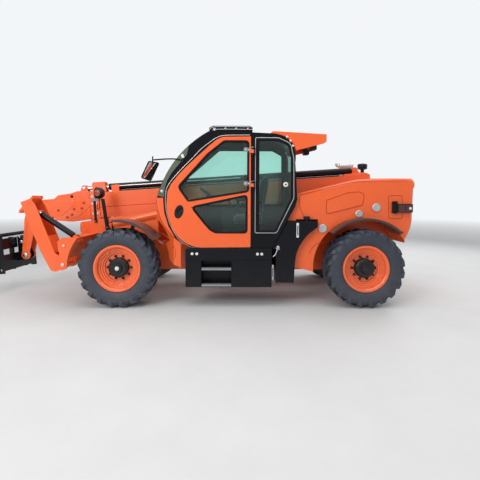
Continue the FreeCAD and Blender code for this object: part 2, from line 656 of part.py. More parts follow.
def cab_outline(inset):
    """Side outline of the cab, drawn in by inset."""
    i = inset
    return [(-447 + i, CAB_FLOOR + i), (700 - i * 0.4, CAB_FLOOR + i),
            (1130 - i, 1180 + i * 0.4, 1), (1262 - i, 1580),
            (1040 - i * 0.8, 2085 - i * 0.5, 1), (470 - i * 0.5, 2600 - i),
            (-480 + i * 0.4, 2560 - i), (-700 + i * 0.8, 2440 - i * 0.6, 1),
            (-780 + i, 2140), (-815 + i, 1600), (-785 + i, 1490)]


DOOR_OUTLINE = [(-124, 893), (600, 885), (905, 1010, 1), (1050, 1250), (1104, 1530, 1), (1035, 1795),
                (450, 2383), (370, 2460, 1), (255, 2500), (-124, 2507)]
REAR_WINDOW = [(-232, 2470), (-232, 1120), (-500, 1120), (-740, 1620), (-735, 2200), (-690, 2385, 1),
               (-520, 2470)]
RIGHT_WINDOW = [(-700, 1500), (-690, 2340), (-520, 2430), (380, 2430), (900, 1980),
                (1090, 1600), (1050, 1480)]
UPPER_PANE = [(-90, 2440), (265, 2440), (505, 2250), (935, 1775), (790, 1565), (-90, 1710)]
LOWER_PANE = [(-70, 1105), (-70, 1655), (745, 1480), (530, 1215), (470, 1135, 1), (330, 1110)]


def make_cab_shell():
    """Hollow cab with a door opening and windows on every side."""
    whole = side_plate(cab_outline(0), CAB_IN, CAB_OUT)
    inside = side_plate(cab_outline(CAB_WALL), CAB_IN + CAB_WALL, CAB_OUT - CAB_WALL)
    opening = side_plate([(-90, 930), (590, 930), (860, 1040, 1), (1000, 1270), (1050, 1530, 1),
                          (990, 1770), (425, 2340), (350, 2410, 1), (250, 2450), (-90, 2450)],
                         CAB_OUT - CAB_WALL - 5, CAB_OUT + 5)
    rear_side = side_plate(REAR_WINDOW, CAB_OUT - CAB_WALL - 5, CAB_OUT + 5)
    right_side = side_plate(RIGHT_WINDOW, CAB_IN - 5, CAB_IN + CAB_WALL + 5)
    clear = CAB_WALL + 15
    screen = box(300, 1400, CAB_IN + clear, CAB_OUT - clear, 1500, 2520)
    back = box(-1000, -600, CAB_IN + clear, CAB_OUT - clear, 1560, 2380)
    hatch = box(-100, 380, CAB_IN + clear, CAB_OUT - clear, 2500, 2700)
    shell = whole.cut(inside).cut(opening).cut(rear_side).cut(right_side)
    shell = shell.cut(screen).cut(back).cut(hatch)
    hinges = []
    for z in (2290.0, 1800.0):
        for low in (z - 55, z + 25):
            hinges.append(box(HINGE_X - 40, HINGE_X + 12, CAB_OUT - 10, CAB_OUT + 50, low, low + 30))
        hinges.append(Part.makeCylinder(HINGE_R, 110, V(HINGE_X, CAB_OUT + 60, z - 55)))
        hinges.append(Part.makeCylinder(20, 30, V(HINGE_X, CAB_OUT + 60, z - 55)))
        hinges.append(Part.makeCylinder(20, 30, V(HINGE_X, CAB_OUT + 60, z + 25)))
    return fused([shell] + hinges)


def pane(points, y0):
    """A flat pane in a side wall."""
    return side_plate(points, y0, y0 + GLASS)


def make_cab_glass():
    """Rear side pane, right side pane, windscreen, back window and roof pane."""
    ring = side_plate(cab_outline(14), CAB_IN + CAB_WALL + 15 + FIT, CAB_OUT - CAB_WALL - 15 - FIT)
    core = side_plate(cab_outline(14 + GLASS), CAB_IN, CAB_OUT)
    band = ring.cut(core)
    clear = CAB_WALL + 15 + FIT
    screen = band.common(box(300, 1400, CAB_IN + clear, CAB_OUT - clear, 1500 + FIT, 2520 - FIT))
    back = band.common(box(-1000, -600 - FIT, CAB_IN + clear, CAB_OUT - clear, 1560 + FIT, 2380 - FIT))
    hatch = band.common(box(-100 + FIT, 380 - FIT, CAB_IN + clear, CAB_OUT - clear, 2500, 2700))
    if hatch.common(screen).Volume > 0:
        hatch = hatch.cut(screen)
    side = pane(REAR_WINDOW, CAB_OUT - 20)
    right = pane(RIGHT_WINDOW, CAB_IN + 12)
    return Part.makeCompound([side, right, screen, back, hatch])


def make_cab_roof():
    """Ribbed roof cap with a raised rim."""
    cap = side_plate([(-150, 2560), (470, 2590), (490, 2640), (430, 2672), (-120, 2672), (-150, 2640)],
                     CAB_IN + 20, CAB_OUT - 20)
    seat = side_plate(cab_outline(-FIT), CAB_IN - 10, CAB_OUT + 10)
    cap = cap.cut(seat)
    ribs = [box(-80, 400, y, y + 40, 2668, 2684)
            for y in range(int(CAB_IN) + 60, int(CAB_OUT) - 90, 110)]
    return fused([cap] + ribs)


def make_door():
    """Door leaf with two openings, a latch handle and its hinge knuckles."""
    y0 = CAB_OUT + CLEAR
    y1 = y0 + DOOR_THICK
    leaf = side_plate(DOOR_OUTLINE, y0, y1)
    leaf = leaf.cut(side_plate(UPPER_PANE, y0 - 5, y1 + 5)).cut(side_plate(LOWER_PANE, y0 - 5, y1 + 5))
    recess = side_plate([(900, 1335), (955, 1395, 1), (935, 1480), (880, 1420, 1)], y1 - 16, y1 + 5)
    leaf = leaf.cut(recess)
    knuckles = []
    for z in (2290.0, 1800.0):
        low, high = z - 25 + FIT, z + 25 - FIT
        tube = Part.makeCylinder(20, high - low, V(HINGE_X, CAB_OUT + 60, low))
        tab = box(HINGE_X, -100, CAB_OUT + 44, CAB_OUT + 70, low, high)
        hole = Part.makeCylinder(HINGE_R + FIT, 200, V(HINGE_X, CAB_OUT + 60, z - 100))
        knuckles.append(fused([tube, tab]).cut(hole))
    return fused([leaf] + knuckles)


def make_door_glass():
    """The door's two panes."""
    y = CAB_OUT + CLEAR + 16
    return Part.makeCompound([pane(UPPER_PANE, y), pane(LOWER_PANE, y)])


def make_seat_base():
    """Suspension box under the seat."""
    return box(-330, 60, 500, 860, CAB_FLOOR + CAB_WALL + FIT, 1230)


def make_seat_cushion():
    """Seat cushion as a plain block."""
    return box(-340, 160, 430, 930, 1230 + FIT, 1350)


def make_seat_back():
    """Backrest as a plain leaning block."""
    return side_plate([(-330, 1350 + FIT), (-215, 1350 + FIT), (-330, 1980), (-440, 1980)], 450, 910)


def make_controls():
    """Front console, steering column with its wheel, and the side console with a lever."""
    floor = CAB_FLOOR + CAB_WALL + FIT
    console = side_plate([(560, floor), (665, floor), (850, 1120), (960, 1330), (860, 1480),
                          (660, 1480), (640, 1150)], 480, 880)
    column = rod((700, 680, 1400), (505, 680, 1660), 32)
    tilt = V(-195, 0, 260)
    centre = V(505, 680, 1660)
    wheel = turned_about([(-10, 172), (10, 172), (15, 185), (10, 198), (-10, 198), (-15, 185)], centre, tilt)
    spoke = Part.makeCylinder(182, 8, centre - V(tilt).normalize() * 4, tilt)
    spoke = spoke.common(fused([box(200, 800, 655, 705, 1400, 1900),
                                box(200, 800, 480, 880, 1630, 1690)]))
    box_side = box(-200, 330, 330 + FIT, 425, floor, 1450)
    lever = rod((180, 378, 1440), (215, 378, 1600), 14)
    knob = rod((215, 378, 1595), (220, 378, 1635), 24)
    return Part.makeCompound([fused([console, column, wheel, spoke]), fused([box_side, lever, knob])])


def make_roof_visor():
    """Guard over the rear of the cab roof: side plates and a top sheet."""
    plate = side_plate([(-400, 2555), (-440, 2590), (-500, 2592), (-1235, 2552), (-1235, 2445),
                        (-1190, 2415), (-800, 2320), (-790, 2300), (-700, 2470, 1), (-500, 2545)],
                       CAB_OUT - 12, CAB_OUT)
    seat = side_plate(cab_outline(-FIT), CAB_IN - 20, CAB_OUT + 10)
    plate = plate.cut(seat)
    other = plate.copy()
    other.translate(V(0, CAB_IN + 12 - CAB_OUT, 0))
    sheet = side_plate([(-480, 2550), (-1235, 2530), (-1235, 2552), (-500, 2590)],
                       CAB_IN + 5, CAB_OUT - 5)
    sheet = sheet.cut(seat)
    beam = box(-1100, -1040, CAB_IN + 5, CAB_OUT - 5, 2430, 2480)
    return fused([plate, other, sheet, beam])


def make_step_box():
    """Hydraulic tank under the cab with the steps let into it."""
    top = CAB_FLOOR - FIT
    tank = side_plate([(-440, 300), (830, 300), (830, 860), (820, top), (-440, top)],
                      FRAME_OUT + FIT, STEP_OUT)
    low = box(155, 595, STEP_OUT - 190, STEP_OUT + 1, 325, 540)
    high = box(155, 595, STEP_OUT - 190, STEP_OUT + 1, 575, 690)
    shape = tank.cut(low).cut(high)
    flange = box(-440, 830, STEP_OUT - 1, STEP_OUT + 8, 705, 860)
    return fused([shape, flange])


def make_fuel_tank():
    """Black tank behind the cab, hollowed towards the rear wheel."""
    points = [(-500, 363), (-500, 860), (-735, 1278), (REAR_X + 710, 1278), (REAR_X + 710, 1181),
              (-880, 960, 1), (-785, 700), (-770, 363)]
    tank = side_plate(points, FRAME_OUT + FIT, 1080)
    neck = Part.makeCylinder(30, 40, V(-960, 1034, 1277))
    cap = Part.makeCylinder(42, 26, V(-960, 1034, 1310))
    return fused([tank, neck, cap])


POD_TOP = [(REAR_X - 150, 1918), (REAR_X + 90, 1898)]
# Raised panel on the pod's side, and its round caps as x, z and radius
POD_PANEL = [(-1258, 1590), (-1570, 1700), (-1750, 1718), (-1810, 1700, 1), (-1826, 1650),
             (-1805, 1515), (-1258, 1375)]
POD_CAPS = [(-2014, 1479, 58), (-1754, 1384, 50), (-1212, 1163, 60)]


def pod_outline(inset):
    """Side outline of the left pod, drawn in at its rear and top edges by inset."""
    i = inset
    return [(-810, 1679 - i), (-810, 1300), (-1140, 1300), (-1140, 1190), (-905, 985, 1),
            (-808, 700), (-790, 574), (-1120, 500), (REAR_X - 560 + i, 500),
            (REAR_X - 625 + i, 580), (REAR_X - 640 + i, 800), (REAR_X - 655 + i, 1000),
            (REAR_X - 735 + i, 1190, 1), (REAR_X - 752 + i, 1340), (REAR_X - 762 + i, 1760),
            (REAR_X - 758 + i, 1890 - i / 2, 1), (REAR_X - 715 + i, POD_TOP[0][1] - i),
            (POD_TOP[0][0], POD_TOP[0][1] - i), (POD_TOP[1][0], POD_TOP[1][1] - i)]


def make_rear_body():
    """Rear body: a pod beside each frame member and the counterweight across the tail."""
    arch = ARCH_RADIUS + 34 + FIT
    bevel = 38.0
    edge = POD_OUT - bevel
    rim = [outline(pod_outline(inset), lambda p, y=y: V(p[0], y, p[1])) for inset, y in ((0, edge), (bevel, POD_OUT))]
    left = fused([side_plate(pod_outline(0), POD_IN, edge), Part.makeLoft(rim, True, True)])
    plain = [(-790, 1679), (-790, 574)] + pod_outline(0)[7:]
    right = side_plate(plain, POD_IN, POD_OUT)
    well = bar_y(REAR_X, TYRE_RADIUS, arch, 462, POD_OUT + 5)
    inner_well = bar_y(REAR_X, TYRE_RADIUS, 250, 0, POD_OUT + 5)
    pods = [left.cut(well).cut(inner_well), mirrored(right.cut(well).cut(inner_well))]
    tail = FRAME_REAR - FIT
    weight = side_plate([(tail, 720), (tail, 1500), (REAR_X - 610, 1600), (REAR_X - 610, 1860),
                         (REAR_X - 725, 1900), (REAR_X - 775, 1690), (REAR_X - 765, 1300),
                         (REAR_X - 680, 1000), (REAR_X - 660, 720)], -POD_IN - 5, POD_IN + 5)
    keel = box(REAR_X - 650, tail, 150, POD_IN + 5, 560, 730)
    panel = side_plate(POD_PANEL, POD_OUT - 5, POD_OUT + 7)
    caps = [bar_y(x, z, radius, POD_OUT - 5, POD_OUT + 12) for x, z, radius in POD_CAPS]
    return fused(pods + [weight, panel] + caps + both(keel))


def make_rear_fenders():
    """Black arch trims round the rear wheels."""
    ring = arc_ring(REAR_X, TYRE_RADIUS, ARCH_RADIUS, ARCH_RADIUS + 34, -44, 44, 800, 1165)
    return Part.makeCompound(both(ring))


def make_front_fairing():
    """Orange shroud on both sides of the boom ahead of the cab."""
    seat = FRONT_BOX_TOP + FIT
    front, back = FRAME_FRONT, FRONT_X - 400
    crease = [(900, 1440), (1180, 1440), (front - 40, 1262), (front + 200, 1220),
              (front + 305, 1140, 1), (front + 240, seat), (front - 30, seat), (front - 30, 930),
              (back, 930), (1180, 700), (900, 572)]
    plan = [(905, 300), (905, 1040), (1010, 1040), (1150, 800, 1), (back, FAIRING_OUT),
            (front + 120, FAIRING_OUT), (front + 260, 430, 1), (front + 305, 300)]
    shell = plan_block(plan, 500, 1500).common(side_plate(crease, 200, 1100))
    wall = FRAME_OUT + FIT
    hollow = plan_block([(895, 290), (895, 1015), (1000, 1015), (1130, 785, 1), (back - 15, wall),
                         (front + 100, wall), (front + 240, 400, 1), (front + 280, 290)], 400, 1500)
    under = [(800, 1415), (1180, 1415), (front - 40, 1237), (front + 190, 1195),
             (front + 280, 1140, 1), (front + 300, 900), (800, 400)]
    shell = shell.cut(hollow.common(side_plate(under, 190, 1100)))
    wheel = bar_y(FRONT_X, TYRE_RADIUS, ARCH_RADIUS, 455, 1200)
    sweep = arc_ring(FRONT_X, TYRE_RADIUS, 300, 815, 0, 62, 455, 1200)
    cab = side_plate(cab_outline(-8), 200, 1200)
    door = side_plate(grown_door(12), CAB_OUT - 5, 1200)
    shell = shell.cut(wheel).cut(sweep).cut(cab).cut(door)
    shell = shell.cut(box(800, FRONT_X + 180, 200, wall, 400, 960 + FIT))
    solids = sorted(shell.Solids, key=lambda each: each.Volume)
    return Part.makeCompound(both(solids[-1]))


def grown_door(grow):
    """The door's outline, larger towards the front."""
    centre_x, centre_z = 300.0, 1650.0
    grown = []
    for point in DOOR_OUTLINE:
        dx, dz = point[0] - centre_x, point[1] - centre_z
        size = math.hypot(dx, dz)
        grown.append((point[0] + dx / size * grow, point[1] + dz / size * grow) + tuple(point[2:]))
    return grown


def make_front_fender():
    """Curved fender of a left front wheel with its bracket to the knuckle."""
    ring = arc_ring(FRONT_X, TYRE_RADIUS, FENDER_INNER, FENDER_INNER + FENDER_WALL, -6, 52, 775, 1160)
    lip = arc_ring(FRONT_X, TYRE_RADIUS, FENDER_INNER - 24, FENDER_INNER + 2, -6, 52, 1148, 1160)
    post = side_plate([(FRONT_X - 30, TYRE_RADIUS + KINGPIN_REACH + FIT),
                       (FRONT_X + 30, TYRE_RADIUS + KINGPIN_REACH + FIT),
                       (FRONT_X - 120, TYRE_RADIUS + FENDER_INNER - 5),
                       (FRONT_X - 180, TYRE_RADIUS + FENDER_INNER - 15)], KINGPIN_Y - 60, KINGPIN_Y - 44)
    foot = box(FRONT_X - 40, FRONT_X + 40, KINGPIN_Y - 60, KINGPIN_Y + 30,
               TYRE_RADIUS + KINGPIN_REACH + FIT, TYRE_RADIUS + KINGPIN_REACH + 14)
    reach = side_plate([(FRONT_X - 120, TYRE_RADIUS + FENDER_INNER - 20),
                        (FRONT_X - 120, TYRE_RADIUS + FENDER_INNER - 6),
                        (FRONT_X - 190, TYRE_RADIUS + FENDER_INNER - 22),
                        (FRONT_X - 190, TYRE_RADIUS + FENDER_INNER - 40)], KINGPIN_Y - 60, KINGPIN_Y + 20)
    return fused([ring, lip, post, foot, reach])


def make_engine():
    """Engine as one plain block on the right of the frame."""
    return box(-700, 500, -900, -FRAME_OUT - FIT, 640, 1260)


def make_engine_hood():
    """Hood over the engine, open below."""
    top = [(-780, 620), (-780, 1300), (-780, 1550), (-700, 1545), (720, 1440), (850, 1390, 1),
           (898, 1250), (898, 620)]
    side = side_plate(top, -HOOD_OUT, -FRAME_OUT - FIT)
    inner = [(-755, 600), (-755, 1522), (-700, 1518), (712, 1415), (830, 1370, 1), (873, 1245),
             (873, 600)]
    hollow = side_plate(inner, -HOOD_OUT + SKIN, -FRAME_OUT + 5)
    grille = [box(x, x + 45, -HOOD_OUT - 5, -HOOD_OUT + SKIN + 5, 900, 1250)
              for x in range(100, 700, 90)]
    shape = side.cut(hollow).cut(Part.makeCompound(grille))
    arch = bar_y(REAR_X, TYRE_RADIUS, 980, -1200, -400)
    front = bar_y(FRONT_X, TYRE_RADIUS, 815, -1200, -400)
    return shape.cut(arch).cut(front)


def make_exhaust():
    """Silencer on the right pod with its stack and the air intake bowl."""
    y = -720.0
    top = POD_TOP[0][1] + FIT
    base = Part.makeCylinder(38, 330, V(REAR_X - 260, y, top))
    silencer = rod((REAR_X - 410, y, 2270), (REAR_X - 140, y, 2270), 62)
    intake = Part.makeCylinder(35, 300, V(REAR_X - 610, y, top))
    bowl = Part.makeCylinder(95, 120, V(REAR_X - 610, y, top + 290))
    return Part.makeCompound([fused([base, silencer]), fused([intake, bowl])])


def make_lamps():
    """Headlamps on their posts, tail lamps and the work lamps under the roof guard."""
    x, y, z = FRONT_X + 490.0, 500.0, 1690.0
    pods = []
    body = rod((x - 60, y, z), (x + 45, y, z), 92)
    bezel = rod((x + 44, y, z), (x + 62, y, z), 100)
    post = rod((x, y, 1690), (x - 40, FAIRING_OUT + 20, 1200), 14)
    foot = box(x - 80, x, FAIRING_OUT + FIT, FAIRING_OUT + 16, 1170, 1250)
    pods += both(fused([body, bezel, post, foot]))
    tail = box(REAR_X - 700, REAR_X - 420, POD_OUT + FIT, POD_OUT + 60, 1400, 1570)
    pods += both(tail)
    work = [box(-1110, -1000, y0, y0 + 130, 2330, 2430 - FIT) for y0 in (CAB_IN + 60, CAB_OUT - 190)]
    return Part.makeCompound(pods + work)


def make_mirrors():
    """Left mirror on its arm from the cab pillar and the right one on the hood."""
    arm = rod((885, CAB_OUT + 14, 2210), (1330, 1130, 2185), 12)
    foot = box(850, 900, CAB_OUT + FIT, CAB_OUT + 14, 2180, 2240)
    drop = rod((1320, 1130, 2190), (1290, 1130, 2120), 10)
    glass = side_plate([(1250, 1880), (1300, 1860), (1400, 2120), (1370, 2160), (1300, 2140)], 1060, 1170)
    left = fused([arm, foot, drop, glass])
    side = -HOOD_OUT - FIT
    post = rod((740, side - 16, 1300), (780, side - 50, 1900), 12)
    plate = side_plate([(740, 1800), (790, 1780), (850, 2040), (790, 2060)], side - 105, side)
    foot_right = box(690, 790, side - 16, side, 1250, 1350)
    return Part.makeCompound([left, fused([post, plate, foot_right])])


def make_leg():
    """Stabiliser leg: a channel with its ears, the ram's lugs and the foot."""
    def plate(points, y0, y1):
        placed = [leg_point(p[0], p[1]) + tuple(p[2:]) for p in points]
        return side_plate(placed, y0, y1)
    end = LEG_LENGTH
    cheek = [(-60, 0), (-20, -58, 1), (60, -40), (200, 62), (end - 120, 62), (end, 90), (end, 245),
             (300, 245), (-20, 210), (-60, 150)]
    sides = [plate(cheek, LEG_IN, LEG_IN + LEG_PLATE), plate(cheek, LEG_OUT - LEG_PLATE, LEG_OUT)]
    front = plate([(-20, 195), (300, 232), (end, 232), (end, 245), (300, 245), (-20, 210)],
                  LEG_IN + 1, LEG_OUT - 1)
    rear = plate([(200, 62), (470, 62), (470, 74), (200, 74)], LEG_IN + 1, LEG_OUT - 1)
    middle = (LEG_IN + LEG_OUT) / 2
    u, w = RAM_EYE
    lug = [(u - 90, 240), (u - 38, w), (u, w - 42, 1), (u + 38, w), (u + 90, 240)]
    lugs = [plate(lug, middle - 50, middle - 30 - CLEAR), plate(lug, middle + 30 + CLEAR, middle + 50)]
    foot = plate([(end - 10, 60), (end + 28, 46), (end - 100, 309), (end - 138, 323), (end - 60, 150)],
                 LEG_IN, LEG_OUT)
    pin = bar_y(LEG_PIVOT[0], LEG_PIVOT[1], LEG_PIN, BEAM_END + 2, LEG_OUT + CLEAR + CHEEK + 10)
    return fused(sides + [front, rear, pin, foot] + lugs)


def leg_ram():
    """Barrel and rod of the left stabiliser's ram."""
    middle = (LEG_IN + LEG_OUT) / 2
    return cylinder_pair(RAM_BASE, leg_point(*RAM_EYE), middle, RAM_PIN, 42, 24, 620, 72, 34, 30)


def lift_ram():
    """Barrel and rod of the lift cylinder."""
    return cylinder_pair(LIFT_BASE, boom_point(*LIFT_EYE), 0, LIFT_PIN, 78, 45, 1230, 170, 60, 55)


def tilt_ram():
    """Barrel and rod of the carrier's tilt cylinder."""
    return cylinder_pair(boom_point(*TILT_BASE), boom_point(*TILT_EYE), 0, TILT_PIN, 46, 27,
                         580, 150, 40, 30, back=60.0)


def build():
    """Every node by name."""
    nodes = {
        "chassis_frame": make_frame(), "front_box": make_front_box(), "tow_hitch": make_hitch(),
        "front_axle": make_axle(FRONT_X), "rear_axle": make_axle(REAR_X),
        "front_fairing": make_front_fairing(), "rear_body": make_rear_body(),
        "rear_fenders": make_rear_fenders(), "engine": make_engine(),
        "engine_hood": make_engine_hood(), "exhaust": make_exhaust(),
        "cab_shell": make_cab_shell(), "cab_glass": make_cab_glass(), "cab_roof": make_cab_roof(),
        "seat_base": make_seat_base(), "seat_cushion": make_seat_cushion(),
        "seat_back": make_seat_back(), "controls": make_controls(),
        "roof_visor": make_roof_visor(), "step_box": make_step_box(), "fuel_tank": make_fuel_tank(),
        "lamps": make_lamps(), "mirrors": make_mirrors(), "door": make_door(),
        "door_glass": make_door_glass(), "boom_outer": make_boom_outer(),
        "boom_mid": make_boom_mid(), "boom_collar": make_boom_collar(),
        "boom_inner": make_boom_inner(), "carrier": make_carrier(),
        "extend_barrel": make_extend_barrel(), "extend_rod": make_extend_rod()}
    nodes["lift_barrel"], nodes["lift_rod"] = lift_ram()
    nodes["tilt_barrel"], nodes["tilt_rod"] = tilt_ram()
    corners = {"front": FRONT_X, "rear": REAR_X}
    left_wheel = {"tyre": make_tyre(), "rim": make_rim(), "hub": make_hub()}
    knuckle = make_knuckle()
    for end, x in corners.items():
        for name, piece in left_wheel.items():
            placed = piece.copy()
            placed.translate(V(x, WHEEL_Y, TYRE_RADIUS))
            nodes[f"{name}_{end}_left"] = placed
            nodes[f"{name}_{end}_right"] = mirrored(placed)
        placed = knuckle.copy()
        placed.translate(V(x, 0, TYRE_RADIUS))
        nodes[f"knuckle_{end}_left"] = placed
        nodes[f"knuckle_{end}_right"] = mirrored(placed)
    fender = make_front_fender()
    barrel, ram = leg_ram()
    for name, piece in (("front_fender", fender), ("leg", make_leg()),
                        ("leg_barrel", barrel), ("leg_rod", ram)):
        nodes[f"{name}_left"] = piece
        nodes[f"{name}_right"] = mirrored(piece)
    return nodes


NODES = build()
NOSE_X = max(shape.BoundBox.XMax for shape in NODES.values())
TAIL_X = min(shape.BoundBox.XMin for shape in NODES.values())
ORIGIN_X = (NOSE_X + TAIL_X) / 2

for node, shape in NODES.items():
    shape.translate(V(-ORIGIN_X, 0, 0))
    shape.exportStep(f"parts/{node}.step")
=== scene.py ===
"""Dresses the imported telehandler: finishes, lugged tyres, glazing, lamps, seat and small parts.

Metres, +X to the front, +Y to the left, +Z up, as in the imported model.
"""
import logging
import math
from dataclasses import dataclass, field
from enum import Enum
from typing import Iterable, Sequence

import bmesh
import bpy
from mathutils import Matrix, Vector, noise


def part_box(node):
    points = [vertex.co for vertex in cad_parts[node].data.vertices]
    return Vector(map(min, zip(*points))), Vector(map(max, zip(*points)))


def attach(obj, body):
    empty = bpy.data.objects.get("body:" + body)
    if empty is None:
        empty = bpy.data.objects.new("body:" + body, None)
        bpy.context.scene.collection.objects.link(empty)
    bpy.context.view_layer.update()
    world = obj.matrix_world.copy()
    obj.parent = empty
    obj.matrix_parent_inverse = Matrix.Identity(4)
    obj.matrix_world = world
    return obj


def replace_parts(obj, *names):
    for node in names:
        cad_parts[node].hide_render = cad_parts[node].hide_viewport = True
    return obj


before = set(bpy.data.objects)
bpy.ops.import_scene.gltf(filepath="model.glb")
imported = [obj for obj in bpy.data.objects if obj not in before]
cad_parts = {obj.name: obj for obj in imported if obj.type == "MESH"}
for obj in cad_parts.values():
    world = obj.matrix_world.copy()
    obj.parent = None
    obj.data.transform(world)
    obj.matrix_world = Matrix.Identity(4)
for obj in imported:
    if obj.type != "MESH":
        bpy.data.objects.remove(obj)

LOG = logging.getLogger("telehandler")
for stray in [bpy.data.objects.get(name) for name in ("Cube", "Light", "Camera")]:
    if stray:
        bpy.data.objects.remove(stray)
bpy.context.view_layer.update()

Flat = tuple[float, float]
Solid = tuple[float, float, float]


def middle(node: str) -> Vector:
    """Middle of a CAD node's box.

    Args:
        node: name of the node.

    Returns:
        The point in metres.
    """
    low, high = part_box(node)
    return (low + high) / 2


MID_X = (middle("rim_front_left").x + middle("rim_rear_left").x) / 2
WHEELBASE = middle("rim_front_left").x - middle("rim_rear_left").x
AXLE_Z = middle("rim_front_left").z
BOOM_DROP = math.radians(4.0)


def at(x: float, y: float, z: float) -> Vector:
    """A place measured from the middle of the wheelbase, in the frame of the model."""
    return Vector((x + MID_X, y, z))


def rounded(corners: Sequence[Sequence[float]], steps: int = 6) -> list[Flat]:
    """Rounds the corners of a closed outline.

    Args:
        corners: points as (a, b) or (a, b, radius).
        steps: points along each rounded corner.

    Returns:
        The outline as plain points.
    """
    made: list[Flat] = []
    count = len(corners)
    for index, corner in enumerate(corners):
        here = Vector(corner[:2])
        radius = corner[2] if len(corner) > 2 else 0.0
        if radius <= 0.0:
            made.append((here.x, here.y))
            continue
        back = Vector(corners[index - 1][:2]) - here
        ahead = Vector(corners[(index + 1) % count][:2]) - here
        half = back.angle(ahead) / 2
        reach = min(radius / math.tan(half), back.length * 0.49, ahead.length * 0.49)
        start = here + back.normalized() * reach
        end = here + ahead.normalized() * reach
        for step in range(steps + 1):
            share = step / steps
            mixed = start * (1 - share) ** 2 + here * 2 * share * (1 - share) + end * share ** 2
            made.append((mixed.x, mixed.y))
    return made


def moved(outline: Iterable[Flat], grow: float) -> list[Flat]:
    """Moves each side of a closed outline outward by grow, or inward where it is negative.

    Args:
        outline: points of the closed outline.
        grow: distance in metres.

    Returns:
        The new outline with as many points.
    """
    points = [Vector(p) for p in outline]
    area = sum(a.x * b.y - b.x * a.y for a, b in zip(points, points[1:] + points[:1]))
    turn = 1.0 if area > 0 else -1.0
    made = []
    for index, here in enumerate(points):
        before = (here - points[index - 1]).normalized()
        after = (points[(index + 1) % len(points)] - here).normalized()
        first = Vector((before.y, -before.x)) * turn
        second = Vector((after.y, -after.x)) * turn
        both = first + second
        size = both.length_squared
        made.append(tuple(here + both * (2 * grow / size if size > 0.2 else 0.0)))
    return made


def smooth_path(points: Sequence[Vector], steps: int = 6, closed: bool = False) -> list[Vector]:
    """A smooth line through points.

    Args:
        points: the points to go through.
        steps: points made for each stretch.
        closed: True where the last point joins the first.

    Returns:
        The points of the smooth line.
    """
    count = len(points)
    made: list[Vector] = []
    for index in range(count if closed else count - 1):
        if closed:
            p0, p1, p2, p3 = (points[(index + k) % count] for k in (-1, 0, 1, 2))
        else:
            p1, p2 = points[index], points[index + 1]
            p0 = points[index - 1] if index else p1 * 2 - p2
            p3 = points[index + 2] if index + 2 < count else p2 * 2 - p1
        for step in range(steps):
            t = step / steps
            made.append(0.5 * (2 * p1 + (p2 - p0) * t + (2 * p0 - 5 * p1 + 4 * p2 - p3) * t * t
                               + (3 * p1 - p0 - 3 * p2 + p3) * t ** 3))
    if not closed:
        made.append(points[-1].copy())
    return made


